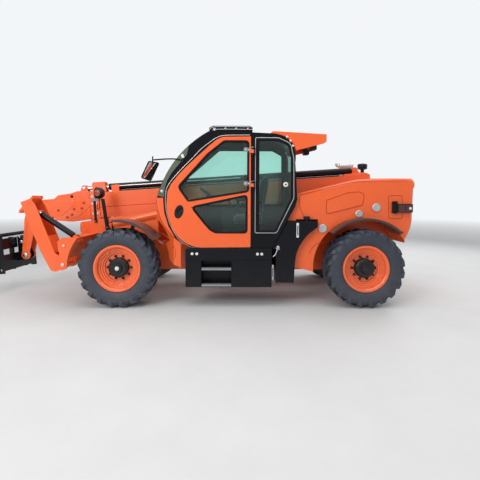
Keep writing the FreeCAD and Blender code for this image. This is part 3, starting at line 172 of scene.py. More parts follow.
class Shape:
    """Gathers the faces of one piece."""

    def __init__(self) -> None:
        """Starts with no faces."""
        self.bm = bmesh.new()

    def loft(self, rings: Sequence[Sequence[Vector]], closed: bool = False, caps: bool = True) -> "Shape":
        """Joins rings of points that each have as many points.

        Args:
            rings: closed rings in order.
            closed: True where the last ring joins the first.
            caps: True to close the two ends.

        Returns:
            This shape.
        """
        made = [[self.bm.verts.new(p) for p in ring] for ring in rings]
        count = len(made[0])
        pairs = list(zip(made, made[1:])) + ([(made[-1], made[0])] if closed else [])
        for first, second in pairs:
            for index in range(count):
                after = (index + 1) % count
                self.bm.faces.new((first[index], first[after], second[after], second[index]))
        if caps and not closed:
            self.bm.faces.new(list(reversed(made[0])))
            self.bm.faces.new(made[-1])
        return self

    def prism(self, outline: Sequence[Flat], low: float, high: float, tip: float = 0.0) -> "Shape":
        """A side outline (x, z) made solid between two y places.

        Args:
            outline: closed outline in the x and z of the model.
            low: first y.
            high: second y.
            tip: how far the edge at high is drawn in, as on a pressed panel.

        Returns:
            This shape.
        """
        rings = [[Vector((x, low, z)) for x, z in outline]]
        if tip:
            soft = high - math.copysign(min(abs(tip), abs(high - low)), high - low)
            rings.append([Vector((x, soft, z)) for x, z in outline])
            rings.append([Vector((x, high, z)) for x, z in moved(outline, -abs(tip))])
        else:
            rings.append([Vector((x, high, z)) for x, z in outline])
        return self.loft(rings)

    def border(self, outline: Sequence[Flat], width: float, low: float, high: float) -> "Shape":
        """A flat frame along an (x, z) outline, such as a window's rubber.

        Args:
            outline: closed outline of the frame's outer edge.
            width: width of the frame, inward.
            low: first y.
            high: second y.

        Returns:
            This shape.
        """
        inner = moved(outline, -width)
        quarter, three = moved(outline, -width * 0.25), moved(outline, -width * 0.75)
        edge = high - (high - low) * 0.35
        lines = [(outline, low), (outline, edge), (quarter, high), (three, high), (inner, edge), (inner, low)]
        rings = [[Vector((x, y, z)) for x, z in line] for line, y in lines]
        return self.loft(rings, closed=True)

    def box(self, low: Sequence[float], high: Sequence[float]) -> "Shape":
        """A block between two corners."""
        outline = [(low[0], low[2]), (high[0], low[2]), (high[0], high[2]), (low[0], high[2])]
        return self.prism(outline, low[1], high[1])

    def lathe(self, profile: Sequence[Flat], centre: Vector, axis: Sequence[float] = (0, 1, 0),
              sides: int = 40, closed: bool = False) -> "Shape":
        """Turns a profile about an axis.

        Args:
            profile: points as (distance along the axis, radius).
            centre: where the axis starts.
            axis: direction of the axis.
            sides: faces round the axis.
            closed: True where the profile is a closed ring.

        Returns:
            This shape.
        """
        way = Vector(axis).normalized()
        side = way.orthogonal().normalized()
        other = way.cross(side)
        rings = []
        for step in range(sides):
            angle = 2 * math.pi * step / sides
            out = side * math.cos(angle) + other * math.sin(angle)
            rings.append([self.bm.verts.new(Vector(centre) + way * a + out * max(r, 1e-5)) for a, r in profile])
        count = len(profile)
        for index, ring in enumerate(rings):
            after = rings[(index + 1) % sides]
            for step in range(count if closed else count - 1):
                nxt = (step + 1) % count
                self.bm.faces.new((ring[step], ring[nxt], after[nxt], after[step]))
        bmesh.ops.remove_doubles(self.bm, verts=self.bm.verts, dist=3e-5)
        return self

    def disc_stack(self, centre: Vector, axis: Sequence[float], steps: Sequence[Flat], sides: int = 32) -> "Shape":
        """A turned solid closed at both ends, from (distance along the axis, radius) points."""
        profile = [(steps[0][0], 0.0), *steps, (steps[-1][0], 0.0)]
        return self.lathe(profile, centre, axis, sides)

    def bolt(self, seat: Vector, axis: Sequence[float], across: float, height: float) -> "Shape":
        """A hexagon head on its washer.

        Args:
            seat: middle of the face that it sits on.
            axis: outward direction.
            across: width over the flats.
            height: height of the head.

        Returns:
            This shape.
        """
        self.disc_stack(seat, axis, [(0, across * 0.72), (height * 0.22, across * 0.72)], 20)
        tip = across * 0.577
        return self.disc_stack(seat, axis, [(height * 0.2, tip), (height * 0.85, tip), (height, tip * 0.84)], 6)

    def tube(self, points: Sequence[Vector], radius: float, sides: int = 12, closed: bool = False) -> "Shape":
        """A round bar or hose along points.

        Args:
            points: the middle line, already smooth.
            radius: radius of the bar.
            sides: faces round it.
            closed: True for a ring.

        Returns:
            This shape.
        """
        count = len(points)
        rings = []
        normal = None
        for index, here in enumerate(points):
            before = points[index - 1] if index or closed else here
            after = points[(index + 1) % count] if index + 1 < count or closed else here
            way = (after - before).normalized()
            normal = way.orthogonal() if normal is None else normal - way * normal.dot(way)
            normal.normalize()
            other = way.cross(normal)
            rings.append([here + (normal * math.cos(a) + other * math.sin(a)) * radius
                          for a in (2 * math.pi * k / sides for k in range(sides))])
        return self.loft(rings, closed=closed)

    def bar(self, start: Vector, end: Vector, radius: float, sides: int = 16) -> "Shape":
        """A straight round bar."""
        return self.disc_stack(start, end - start, [(0, radius), ((end - start).length, radius)], sides)

    def mirrored(self) -> "Shape":
        """Adds the mirror image on the other side of the machine."""
        copy = bmesh.ops.duplicate(self.bm, geom=self.bm.verts[:] + self.bm.edges[:] + self.bm.faces[:])
        fresh = [item for item in copy["geom"] if isinstance(item, bmesh.types.BMVert)]
        for vertex in fresh:
            vertex.co.y = -vertex.co.y
        return self

    def piece(self, name: str, finish: "Finish", body: str = "root", bevel: float = 0.0) -> bpy.types.Object:
        """Makes the object, with its finish, on the body that it moves with.

        Args:
            name: name of the piece.
            finish: what it is covered with.
            body: CAD body that it rides on.
            bevel: width of the softened edges, 0 for none.

        Returns:
            The object.
        """
        bmesh.ops.recalc_face_normals(self.bm, faces=self.bm.faces[:])
        mesh = bpy.data.meshes.new(name)
        self.bm.to_mesh(mesh)
        self.bm.free()
        made = bpy.data.objects.new(name, mesh)
        bpy.context.scene.collection.objects.link(made)
        mesh.materials.append(finish.material())
        mesh.polygons.foreach_set("use_smooth", [True] * len(mesh.polygons))
        mesh.set_sharp_from_angle(angle=math.radians(38))
        if bevel:
            soften(made, bevel)
        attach(made, body)
        return made


def soften(piece: bpy.types.Object, width: float, segments: int = 2) -> None:
    """Rounds the sharp edges of a piece.

    Args:
        piece: the object.
        width: width of the rounding.
        segments: faces across it.
    """
    bevel = piece.modifiers.new("soft edges", "BEVEL")
    bevel.width = width
    bevel.segments = segments
    bevel.limit_method = "ANGLE"
    bevel.angle_limit = math.radians(40)
    bevel.harden_normals = True


def shade_group() -> bpy.types.NodeTree:
    """Geometry nodes that shade smooth up to an angle, for the welded CAD meshes.

    Returns:
        The node tree, built once.
    """
    name = "smooth by angle"
    if name in bpy.data.node_groups:
        return bpy.data.node_groups[name]
    tree = bpy.data.node_groups.new(name, "GeometryNodeTree")
    tree.interface.new_socket("Geometry", in_out="INPUT", socket_type="NodeSocketGeometry")
    tree.interface.new_socket("Geometry", in_out="OUTPUT", socket_type="NodeSocketGeometry")
    start, end = tree.nodes.new("NodeGroupInput"), tree.nodes.new("NodeGroupOutput")
    faces, edges = (tree.nodes.new("GeometryNodeSetShadeSmooth") for _ in range(2))
    faces.domain, edges.domain = "FACE", "EDGE"
    angle = tree.nodes.new("GeometryNodeInputMeshEdgeAngle")
    flat = tree.nodes.new("ShaderNodeMath")
    flat.operation = "LESS_THAN"
    flat.inputs[1].default_value = math.radians(32)
    tree.links.new(start.outputs[0], faces.inputs["Geometry"])
    tree.links.new(faces.outputs[0], edges.inputs["Geometry"])
    tree.links.new(angle.outputs["Unsigned Angle"], flat.inputs[0])
    tree.links.new(flat.outputs[0], edges.inputs["Shade Smooth"])
    tree.links.new(edges.outputs[0], end.inputs[0])
    return tree


def dress(node: str, finish: "Finish", bevel: float = 0.003) -> None:
    """Gives a CAD node its finish and softens its edges.

    Args:
        node: name of the CAD node.
        finish: what it is covered with.
        bevel: width of the softened edges, 0 for none.
    """
    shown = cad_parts[node]
    shown.data.materials.clear()
    shown.data.materials.append(finish.material())
    if "custom_normal" in shown.data.attributes:
        shown.data.attributes.remove(shown.data.attributes["custom_normal"])
    weld = shown.modifiers.new("weld", "WELD")
    weld.merge_threshold = 2e-5
    shade = shown.modifiers.new("shade", "NODES")
    shade.node_group = shade_group()
    if bevel:
        soften(shown, bevel)


class Grain(Enum):
    """Fine relief of a finish."""

    NONE = "none"
    PAINT = "orange peel of sprayed paint"
    PLASTIC = "moulded plastic grain"
    RUBBER = "moulded rubber"
    CAST = "sand cast metal"
    CLOTH = "woven seat cloth"
    BRUSHED = "drawn or brushed metal"
    LENS = "ribbed lamp lens"


GRAIN_SIZE = {Grain.PAINT: (160.0, 0.035), Grain.PLASTIC: (520.0, 0.16), Grain.RUBBER: (90.0, 0.22),
              Grain.CAST: (210.0, 0.45), Grain.CLOTH: (260.0, 0.5), Grain.BRUSHED: (420.0, 0.06),
              Grain.LENS: (95.0, 0.6)}
BUMP_REACH = 0.002


class Tree:
    """Adds and joins nodes in one node tree."""

    def __init__(self, tree: bpy.types.NodeTree) -> None:
        """Args:
            tree: the tree to add to.
        """
        self.tree = tree

    def add(self, kind: str, inputs: dict | None = None, **settings: object) -> bpy.types.Node:
        """Adds a node.

        Args:
            kind: type of the node without its Shader prefix.
            inputs: sockets by name or number, each with a value or an output to join.
            settings: properties of the node.

        Returns:
            The node.
        """
        made = self.tree.nodes.new(kind if kind.startswith("Node") else "ShaderNode" + kind)
        for key, value in settings.items():
            setattr(made, key, value)
        for key, value in (inputs or {}).items():
            socket = made.inputs[key]
            if isinstance(value, bpy.types.NodeSocket):
                self.tree.links.new(value, socket)
            else:
                socket.default_value = value
        return made

    def math(self, operation: str, *values: object) -> bpy.types.NodeSocket:
        """A Math node's output, clamped."""
        inputs = {index: value for index, value in enumerate(values)}
        return self.add("Math", inputs, operation=operation, use_clamp=True).outputs[0]

    def mix(self, share: object, first: object, second: object) -> bpy.types.NodeSocket:
        """A Mix node's colour output."""
        made = self.add("Mix", {0: share, 6: first, 7: second}, data_type="RGBA")
        return made.outputs[2]


def shared_group(name: str, inputs: dict[str, object], outputs: dict[str, str]) -> tuple[Tree, bpy.types.Node, bpy.types.Node]:
    """Starts a shader node group with named inputs and outputs.

    Args:
        name: name of the group.
        inputs: each input with its default, a number or a colour.
        outputs: each output with its socket type.

    Returns:
        The tree, its input node and its output node.
    """
    group = bpy.data.node_groups.new(name, "ShaderNodeTree")
    for key, value in inputs.items():
        kind = "NodeSocketColor" if isinstance(value, tuple) else "NodeSocketFloat"
        socket = group.interface.new_socket(key, in_out="INPUT", socket_type=kind)
        socket.default_value = value
    for key, kind in outputs.items():
        group.interface.new_socket(key, in_out="OUTPUT", socket_type=kind)
    tree = Tree(group)
    return tree, tree.add("NodeGroupInput"), tree.add("NodeGroupOutput")


GREY = (0.5, 0.5, 0.5, 1.0)
COLOR_OUT = {"Color": "NodeSocketColor", "Mask": "NodeSocketFloat"}


def make_mottle() -> None:
    """Slow change of tone over a surface."""
    tree, start, end = shared_group("mottle", {"Color": GREY, "Amount": 0.05, "Scale": 3.0}, COLOR_OUT)
    place = tree.add("TexCoord").outputs["Object"]
    cloud = tree.add("TexNoise", {"Vector": place, "Scale": start.outputs["Scale"], "Detail": 5.0, "Roughness": 0.6})
    mask = tree.add("MapRange", {0: cloud.outputs[0], 1: 0.35, 2: 0.65, 3: 0.0, 4: 1.0}).outputs[0]
    swing = tree.math("MULTIPLY", mask, start.outputs["Amount"])
    darker = tree.mix(swing, start.outputs["Color"], (0.0, 0.0, 0.0, 1.0))
    tree.tree.links.new(darker, end.inputs["Color"])
    tree.tree.links.new(mask, end.inputs["Mask"])


def make_dust() -> None:
    """Dust on faces that look up and on what is near the ground."""
    inputs = {"Color": GREY, "Dust": (0.34, 0.31, 0.27, 1.0), "Amount": 0.2, "Height": 0.8}
    tree, start, end = shared_group("dust", inputs, COLOR_OUT)
    coords = tree.add("TexCoord")
    up = tree.add("SeparateXYZ", {0: coords.outputs["Normal"]}).outputs["Z"]
    high = tree.add("SeparateXYZ", {0: coords.outputs["Object"]}).outputs["Z"]
    top = tree.add("MapRange", {0: up, 1: 0.45, 2: 1.0, 3: 0.0, 4: 0.8}).outputs[0]
    low = tree.add("MapRange", {0: high, 1: start.outputs["Height"], 2: 0.0, 3: 0.0, 4: 1.0}).outputs[0]
    cloud = tree.add("TexNoise", {"Vector": coords.outputs["Object"], "Scale": 9.0, "Detail": 6.0, "Roughness": 0.7})
    patch = tree.add("MapRange", {0: cloud.outputs[0], 1: 0.3, 2: 0.75, 3: 0.15, 4: 1.0}).outputs[0]
    both = tree.math("MAXIMUM", top, low)
    mask = tree.math("MULTIPLY", tree.math("MULTIPLY", both, patch), start.outputs["Amount"])
    dusty = tree.mix(mask, start.outputs["Color"], start.outputs["Dust"])
    tree.tree.links.new(dusty, end.inputs["Color"])
    tree.tree.links.new(mask, end.inputs["Mask"])


def make_wear() -> None:
    """Paint rubbed thin along convex edges."""
    inputs = {"Color": GREY, "Bare": (0.45, 0.42, 0.4, 1.0), "Amount": 0.3}
    tree, start, end = shared_group("edge wear", inputs, COLOR_OUT)
    point = tree.add("NewGeometry").outputs["Pointiness"]
    edge = tree.add("MapRange", {0: point, 1: 0.53, 2: 0.62, 3: 0.0, 4: 1.0}).outputs[0]
    place = tree.add("TexCoord").outputs["Object"]
    cloud = tree.add("TexNoise", {"Vector": place, "Scale": 24.0, "Detail": 4.0})
    chips = tree.add("MapRange", {0: cloud.outputs[0], 1: 0.48, 2: 0.6, 3: 0.0, 4: 1.0}).outputs[0]
    mask = tree.math("MULTIPLY", tree.math("MULTIPLY", edge, chips), start.outputs["Amount"])
    tree.tree.links.new(tree.mix(mask, start.outputs["Color"], start.outputs["Bare"]), end.inputs["Color"])
    tree.tree.links.new(mask, end.inputs["Mask"])


def make_grain() -> None:
    """Fine irregular relief."""
    tree, start, end = shared_group("grain", {"Scale": 200.0}, {"Height": "NodeSocketFloat"})
    place = tree.add("TexCoord").outputs["Object"]
    fine = tree.add("TexNoise", {"Vector": place, "Scale": start.outputs["Scale"], "Detail": 3.0})
    tree.tree.links.new(fine.outputs[0], end.inputs["Height"])


def make_weave() -> None:
    """Crossing threads, for cloth, and their shadow between them."""
    outputs = {"Height": "NodeSocketFloat", "Mask": "NodeSocketFloat"}
    tree, start, end = shared_group("weave", {"Scale": 260.0}, outputs)
    place = tree.add("TexCoord").outputs["Object"]
    waves = []
    for way in ("X", "Z"):
        wave = tree.add("TexWave", {"Vector": place, "Scale": start.outputs["Scale"], "Distortion": 0.6},
                        wave_type="BANDS", bands_direction=way)
        waves.append(wave.outputs[1])
    side = tree.add("TexWave", {"Vector": place, "Scale": start.outputs["Scale"], "Distortion": 0.6},
                    wave_type="BANDS", bands_direction="Y")
    first = tree.math("MAXIMUM", waves[0], waves[1])
    height = tree.math("MULTIPLY", first, side.outputs[1])
    tree.tree.links.new(height, end.inputs["Height"])
    tree.tree.links.new(height, end.inputs["Mask"])


GROUP_MAKERS = {"mottle": make_mottle, "dust": make_dust, "edge wear": make_wear,
                "grain": make_grain, "weave": make_weave}


def use_group(tree: Tree, name: str, inputs: dict[str, object]) -> bpy.types.Node:
    """Places a shared group in a material.

    Args:
        tree: the material's tree.
        name: name of the group.
        inputs: its values here.

    Returns:
        The group's node.
    """
    if name not in bpy.data.node_groups:
        GROUP_MAKERS[name]()
    made = tree.add("Group", node_tree=bpy.data.node_groups[name])
    for key, value in inputs.items():
        if isinstance(value, bpy.types.NodeSocket):
            tree.tree.links.new(value, made.inputs[key])
        else:
            made.inputs[key].default_value = value
    return made


@dataclass(frozen=True)
class Finish:
    """What a surface is covered with.

    Colours are linear. The slot holds the name of a material slot; nothing here reads it.
    """

    name: str
    slot: str
    color: tuple[float, float, float]
    roughness: float = 0.45
    metallic: float = 0.0
    coat: float = 0.0
    specular: float = 0.5
    sheen: float = 0.0
    mottle: float = 0.08
    dust: float = 0.0
    dust_height: float = 0.8
    wear: float = 0.0
    bare: tuple[float, float, float] = (0.5, 0.47, 0.45)
    grain: Grain = Grain.NONE
    glow: float = 0.0

    def material(self) -> bpy.types.Material:
        """The material, built once."""
        if self.name in bpy.data.materials:
            return bpy.data.materials[self.name]
        made = bpy.data.materials.new(self.name)
        made.use_nodes = True
        made.node_tree.nodes.clear()
        tree = Tree(made.node_tree)
        shader = tree.add("BsdfPrincipled", {"Metallic": self.metallic, "Coat Weight": self.coat,
                                             "Coat Roughness": 0.08, "Sheen Weight": self.sheen,
                                             "Specular IOR Level": self.specular})
        end = tree.add("OutputMaterial", {"Surface": shader.outputs[0]})
        end.is_active_output = True
        self.cover(tree, shader)
        self.relief(tree, shader)
        if self.glow:
            shader.inputs["Emission Color"].default_value = (*self.color, 1.0)
            shader.inputs["Emission Strength"].default_value = self.glow
        return made

    def cover(self, tree: Tree, shader: bpy.types.Node) -> None:
        """Joins the colour and the roughness."""
        tone = use_group(tree, "mottle", {"Color": (*self.color, 1.0), "Amount": self.mottle})
        color = tone.outputs["Color"]
        if self.wear:
            worn = use_group(tree, "edge wear", {"Color": color, "Bare": (*self.bare, 1.0), "Amount": self.wear})
            color = worn.outputs["Color"]
        rough = tree.add("MapRange", {0: tone.outputs["Mask"], 1: 0.0, 2: 1.0, 3: self.roughness * 0.88,
                                      4: min(1.0, self.roughness * 1.12)}).outputs[0]
        if self.dust:
            dusty = use_group(tree, "dust", {"Color": color, "Amount": self.dust, "Height": self.dust_height})
            color = dusty.outputs["Color"]
            rough = tree.math("MAXIMUM", rough, tree.math("MULTIPLY", dusty.outputs["Mask"], 0.9))
        tree.tree.links.new(color, shader.inputs["Base Color"])
        tree.tree.links.new(rough, shader.inputs["Roughness"])

    def relief(self, tree: Tree, shader: bpy.types.Node) -> None:
        """Joins the fine relief."""
        if self.grain is Grain.NONE:
            return
        scale, strength = GRAIN_SIZE[self.grain]
        if self.grain is Grain.LENS:
            place = tree.add("TexCoord").outputs["Object"]
            wave = tree.add("TexWave", {"Vector": place, "Scale": scale}, wave_type="BANDS", bands_direction="Z")
            height = wave.outputs[1]
        elif self.grain is Grain.BRUSHED:
            place = tree.add("TexCoord").outputs["Object"]
            drawn = tree.add("Mapping", {"Vector": place, "Scale": (0.04, 1.0, 1.0)})
            height = tree.add("TexNoise", {"Vector": drawn.outputs[0], "Scale": scale}).outputs[0]
        else:
            group = "weave" if self.grain is Grain.CLOTH else "grain"
            height = use_group(tree, group, {"Scale": scale}).outputs["Height"]
        bump = tree.add("Bump", {"Height": height, "Strength": strength, "Distance": BUMP_REACH})
        tree.tree.links.new(bump.outputs[0], shader.inputs["Normal"])


@dataclass(frozen=True)
class Glazing(Finish):
    """Tinted cab glass, which lets most of the light through to the seat."""

    shade: float = 0.25

    def material(self) -> bpy.types.Material:
        """The material, built once."""
        if self.name in bpy.data.materials:
            return bpy.data.materials[self.name]
        made = bpy.data.materials.new(self.name)
        made.use_nodes = True
        made.node_tree.nodes.clear()
        tree = Tree(made.node_tree)
        shader = tree.add("BsdfPrincipled", {"Metallic": 0.0, "Transmission Weight": 1.0, "IOR": 1.45})
        tree.add("OutputMaterial", {"Surface": shader.outputs[0]})
        tone = use_group(tree, "mottle", {"Color": (*self.color, 1.0), "Amount": self.mottle, "Scale": 1.5})
        tree.tree.links.new(tone.outputs["Color"], shader.inputs["Base Color"])
        smear = tree.add("MapRange", {0: tone.outputs["Mask"], 1: 0.0, 2: 1.0, 3: self.roughness,
                                      4: self.roughness + 0.025}).outputs[0]
        tree.tree.links.new(smear, shader.inputs["Roughness"])
        shadow = tree.add("LightPath").outputs["Is Shadow Ray"]
        alpha = tree.add("MapRange", {0: shadow, 1: 0.0, 2: 1.0, 3: 1.0, 4: self.shade}).outputs[0]
        tree.tree.links.new(alpha, shader.inputs["Alpha"])
        return made


ORANGE = Finish("machine orange paint", "orange_paint", (0.88, 0.128, 0.026), 0.30, coat=0.22, specular=0.42,
                mottle=0.05, dust=0.07, dust_height=0.9, grain=Grain.PAINT)
WORN_ORANGE = Finish("boom orange paint", "orange_paint", (0.88, 0.130, 0.030), 0.32, coat=0.20, specular=0.42,
                     mottle=0.07, dust=0.07, wear=0.35, bare=(0.95, 0.45, 0.30), grain=Grain.PAINT)
RIM_ORANGE = Finish("rim orange paint", "orange_paint", (0.90, 0.145, 0.035), 0.26, coat=0.4, mottle=0.06,
                    dust=0.10, grain=Grain.PAINT)
# Darker orange for weld seams, pressed lines and collar bolts: painted shade of the grooves and of the rings round the
# bolts.
SHADED_SEAM = Finish("shaded orange seam", "orange_paint", (0.42, 0.045, 0.012), 0.5, specular=0.3, mottle=0.05)
BLACK = Finish("satin black paint", "black_paint", (0.0045, 0.0052, 0.0090), 0.30, coat=0.04, specular=0.20,
               mottle=0.15, dust=0.05, dust_height=0.7, grain=Grain.PAINT)
CAB_BLACK = Finish("cab black paint", "black_paint", (0.0035, 0.0040, 0.0065), 0.22, coat=0.05, specular=0.20,
                   mottle=0.12, dust=0.02, grain=Grain.PAINT)
HUB_BLACK = Finish("hub black paint", "black_paint", (0.0080, 0.0090, 0.0130), 0.40, specular=0.35, mottle=0.2,
                   dust=0.12, wear=0.3, bare=(0.3, 0.3, 0.3), grain=Grain.CAST)
TYRE = Finish("tyre rubber", "tyre_rubber", (0.034, 0.043, 0.064), 0.55, specular=0.45, mottle=0.25, dust=0.14,
              dust_height=1.2, wear=0.25, bare=(0.13, 0.15, 0.20), grain=Grain.RUBBER)
SEAL = Finish("window rubber", "black_plastic", (0.004, 0.004, 0.005), 0.55, specular=0.2, mottle=0.1,
              grain=Grain.RUBBER)
FENDER = Finish("fender plastic", "black_plastic", (0.060, 0.036, 0.035), 0.30, mottle=0.12, dust=0.10,
                grain=Grain.PLASTIC)
PLASTIC = Finish("black plastic", "black_plastic", (0.008, 0.008, 0.010), 0.45, specular=0.3, mottle=0.1,
                 dust=0.04, grain=Grain.PLASTIC)
TRIM = Finish("cab trim plastic", "black_plastic", (0.018, 0.034, 0.032), 0.6, specular=0.3, mottle=0.1,
              grain=Grain.PLASTIC)
HOSE = Finish("hose rubber", "black_plastic", (0.008, 0.008, 0.009), 0.5, specular=0.3, mottle=0.1,
              grain=Grain.RUBBER)
CHROME = Finish("ram chrome", "chrome", (0.78, 0.78, 0.80), 0.12, metallic=1.0, mottle=0.05, grain=Grain.BRUSHED)
ZINC = Finish("zinc plated steel", "bright_steel", (0.70, 0.70, 0.68), 0.32, metallic=1.0, mottle=0.18,
              grain=Grain.CAST)
SILVER = Finish("silver caps", "bright_steel", (0.62, 0.63, 0.64), 0.38, metallic=0.7, mottle=0.12,
                grain=Grain.BRUSHED)
STEEL = Finish("bare dark steel", "dark_steel", (0.10, 0.10, 0.105), 0.5, metallic=0.8, mottle=0.3, dust=0.2,
               grain=Grain.CAST)
GREY_PAINT = Finish("grey bracket paint", "bright_steel", (0.26, 0.27, 0.28), 0.5, mottle=0.12, dust=0.1,
                    grain=Grain.PAINT)
WHITE = Finish("white plastic", "bright_steel", (0.75, 0.75, 0.73), 0.4, mottle=0.06, grain=Grain.PLASTIC)
CLOTH = Finish("seat cloth", "seat_cover", (0.020, 0.022, 0.026), 0.85, sheen=0.3, mottle=0.2, grain=Grain.CLOTH)
GLASS = Glazing("cab glass", "glass", (0.62, 0.89, 0.82), 0.0, mottle=0.04)
TINTED = Finish("tinted edge of the windscreen", "glass", (0.115, 0.140, 0.095), 0.10, coat=0.8, mottle=0.25)
LENS = Glazing("clear lamp lens", "glass", (0.95, 0.96, 0.97), 0.02, mottle=0.02)
MIRROR = Finish("mirror face", "chrome", (0.85, 0.86, 0.88), 0.02, metallic=1.0, mottle=0.02)
REFLECTOR = Finish("lamp reflector", "chrome", (0.9, 0.9, 0.92), 0.08, metallic=1.0, mottle=0.02)
AMBER = Finish("amber lens", "black_plastic", (0.34, 0.040, 0.008), 0.16, coat=0.5, mottle=0.1, grain=Grain.LENS)
RED = Finish("dark red lens", "black_plastic", (0.060, 0.006, 0.005), 0.16, coat=0.5, mottle=0.1, grain=Grain.LENS)


@dataclass
class Wheel:
    """One wheel: lugged tyre, wheel nuts and the details of the planetary hub."""

    end: str
    side: str
    radius: float = 0.579
    half_width: float = 0.2045
    tread_radius: float = 0.541
    shoulder: float = 0.190
    bead: float = 0.3115
    seat: float = 0.160
    lugs: int = 20
    lead: float = 0.30
    nut_circle: float = 0.172
    nuts: int = 10
    centre: Vector = field(init=False)
    out: float = field(init=False)

    def __post_init__(self) -> None:
        """Finds the wheel's place from its rim."""
        self.centre = middle(f"rim_{self.end}_{self.side}")
        self.out = 1.0 if self.side == "left" else -1.0

    @property
    def body(self) -> str:
        """CAD body that the wheel turns with."""
        return f"wheel_{self.end}_{self.side}"

    def spot(self, turn: float, across: float, radius: float) -> Vector:
        """A point of the tyre.

        Args:
            turn: angle from the top towards the front.
            across: distance from the middle plane, outward.
            radius: distance from the axle.

        Returns:
            The point in the frame of the model.
        """
        place = Vector((math.sin(turn) * radius, across * self.out, math.cos(turn) * radius))
        return self.centre + place

    def crown(self, across: float) -> float:
        """Radius over the lugs at a distance from the middle plane."""
        share = min(1.0, abs(across) / self.shoulder)
        return self.radius - 0.011 * share ** 2.2

    def carcass(self) -> None:
        """The tyre's body, from bead to bead, with the rings on its sidewalls, and its lugs."""
        half = self.half_width
        wall = [(self.seat, self.bead), (self.seat, 0.349), (0.176, 0.352), (0.181, 0.358), (0.181, 0.364),
                (0.190, 0.378), (0.1945, 0.384), (0.1945, 0.389), (0.199, 0.400), (half, 0.432),
                (half, 0.452), (0.2025, 0.474), (0.2045, 0.477), (0.2045, 0.483), (0.200, 0.487),
                (0.194, 0.508), (0.183, 0.528), (0.166, 0.5365)]
        tread = [(0.10, self.tread_radius), (0.0, self.tread_radius + 0.002)]
        right = wall + tread
        left = [(-a, r) for a, r in reversed(right[:-1])]
        inside = [(-self.seat + 0.03, self.bead + 0.002), (self.seat - 0.03, self.bead + 0.002)]
        shape = Shape()
        shape.lathe([(a * self.out, r) for a, r in right + left + inside], self.centre, sides=96, closed=True)
        for index in range(2 * self.lugs):
            self.lug(shape, index)
        tyre = shape.piece(f"lugged_tyre_{self.end}_{self.side}", TYRE, self.body, bevel=0.0035)
        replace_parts(tyre, f"tyre_{self.end}_{self.side}")

    def lug(self, shape: Shape, index: int) -> None:
        """One bar of the tread, from past the middle to the shoulder and down the sidewall.

        Args:
            shape: what it is added to.
            index: even numbers go left of the middle and odd ones right.
        """
        hand = 1.0 if index % 2 else -1.0
        start = 2 * math.pi * index / (2 * self.lugs)
        stations = [(-0.012, 0.0, 1.00, 0.026), (0.035, 0.10, 1.0, 0.030), (0.090, 0.42, 1.0, 0.040),
                    (0.140, 0.76, 1.0, 0.052), (0.176, 0.97, 1.0, 0.064), (0.196, 1.06, 0.9760, 0.068),
                    (0.2045, 1.10, 0.925, 0.064), (0.2045, 1.13, 0.850, 0.048), (0.199, 1.14, 0.800, 0.026)]
        rings = []
        for across, along, height, width in stations:
            turn = start + self.lead * (1 - along)
            top = self.crown(across) * (height if height < 1 else 1.0)
            low = min(top - 0.006, self.tread_radius - 0.012)
            inner = across if height == 1.0 else across - 0.022
            half_top, half_low = width / 2 / 0.58, width * 0.72 / 0.58
            side = across * hand
            rings.append([self.spot(turn - half_low, inner * hand, low), self.spot(turn - half_top, side, top),
                          self.spot(turn + half_top, side, top), self.spot(turn + half_low, inner * hand, low)])
        shape.loft(rings)

    def fixings(self) -> None:
        """Wheel nuts, valve, and the bolts and plug of the hub cap."""
        face = middle(f"rim_{self.end}_{self.side}").y + 0.0545 * self.out
        way = (0, self.out, 0)
        nuts = Shape()
        for index in range(self.nuts):
            angle = 2 * math.pi * (index + 0.5) / self.nuts
            seat = self.spot(angle, 0.0, self.nut_circle)
            seat.y = face
            nuts.bolt(seat, way, 0.030, 0.024)
            nuts.disc_stack(seat + Vector(way) * 0.02, way, [(0, 0.010), (0.022, 0.010), (0.024, 0.008)], 12)
        nuts.piece(f"wheel_nuts_{self.end}_{self.side}", HUB_BLACK, self.body)
        cap = Shape()
        front = self.centre.y + 0.1255 * self.out
        for index in range(10):
            seat = self.spot(2 * math.pi * index / 10, 0.0, 0.122)
            seat.y = front - 0.001 * self.out
            cap.bolt(seat, way, 0.017, 0.010)
        for index in range(20):
            ridge = self.spot(2 * math.pi * index / 20, 0.0, 0.1405)
            ridge.y = self.centre.y + 0.062 * self.out
            cap.disc_stack(ridge, way, [(0, 0.007), (0.055, 0.007), (0.060, 0.004)], 8)
        cap.piece(f"hub_bolts_{self.end}_{self.side}", HUB_BLACK, self.body)
        plug = Shape()
        tip = self.centre.copy()
        tip.y += 0.1652 * self.out
        plug.disc_stack(tip, way, [(0, 0.030), (0.004, 0.030), (0.007, 0.024), (0.010, 0.010)], 28)
        plug.piece(f"hub_plug_{self.end}_{self.side}", WHITE if self.end == "front" else HUB_BLACK, self.body)
        valve = Shape()
        foot = self.spot(0.6, 0.09, 0.262)
        valve.bar(foot, foot + Vector((0, 0.035 * self.out, 0)), 0.005, 10)
        valve.piece(f"valve_{self.end}_{self.side}", ZINC, self.body)

    def build(self) -> None:
        """Makes every piece of the wheel."""
        self.carcass()
        self.fixings()
        dress(f"rim_{self.end}_{self.side}", RIM_ORANGE, 0.003)
        dress(f"hub_{self.end}_{self.side}", HUB_BLACK, 0.003)


def side(points: Iterable[Sequence[float]]) -> list[tuple[float, ...]]:
    """A side outline measured from the middle of the wheelbase, in the frame of the model."""
    return [(point[0] + MID_X, *point[1:]) for point in points]


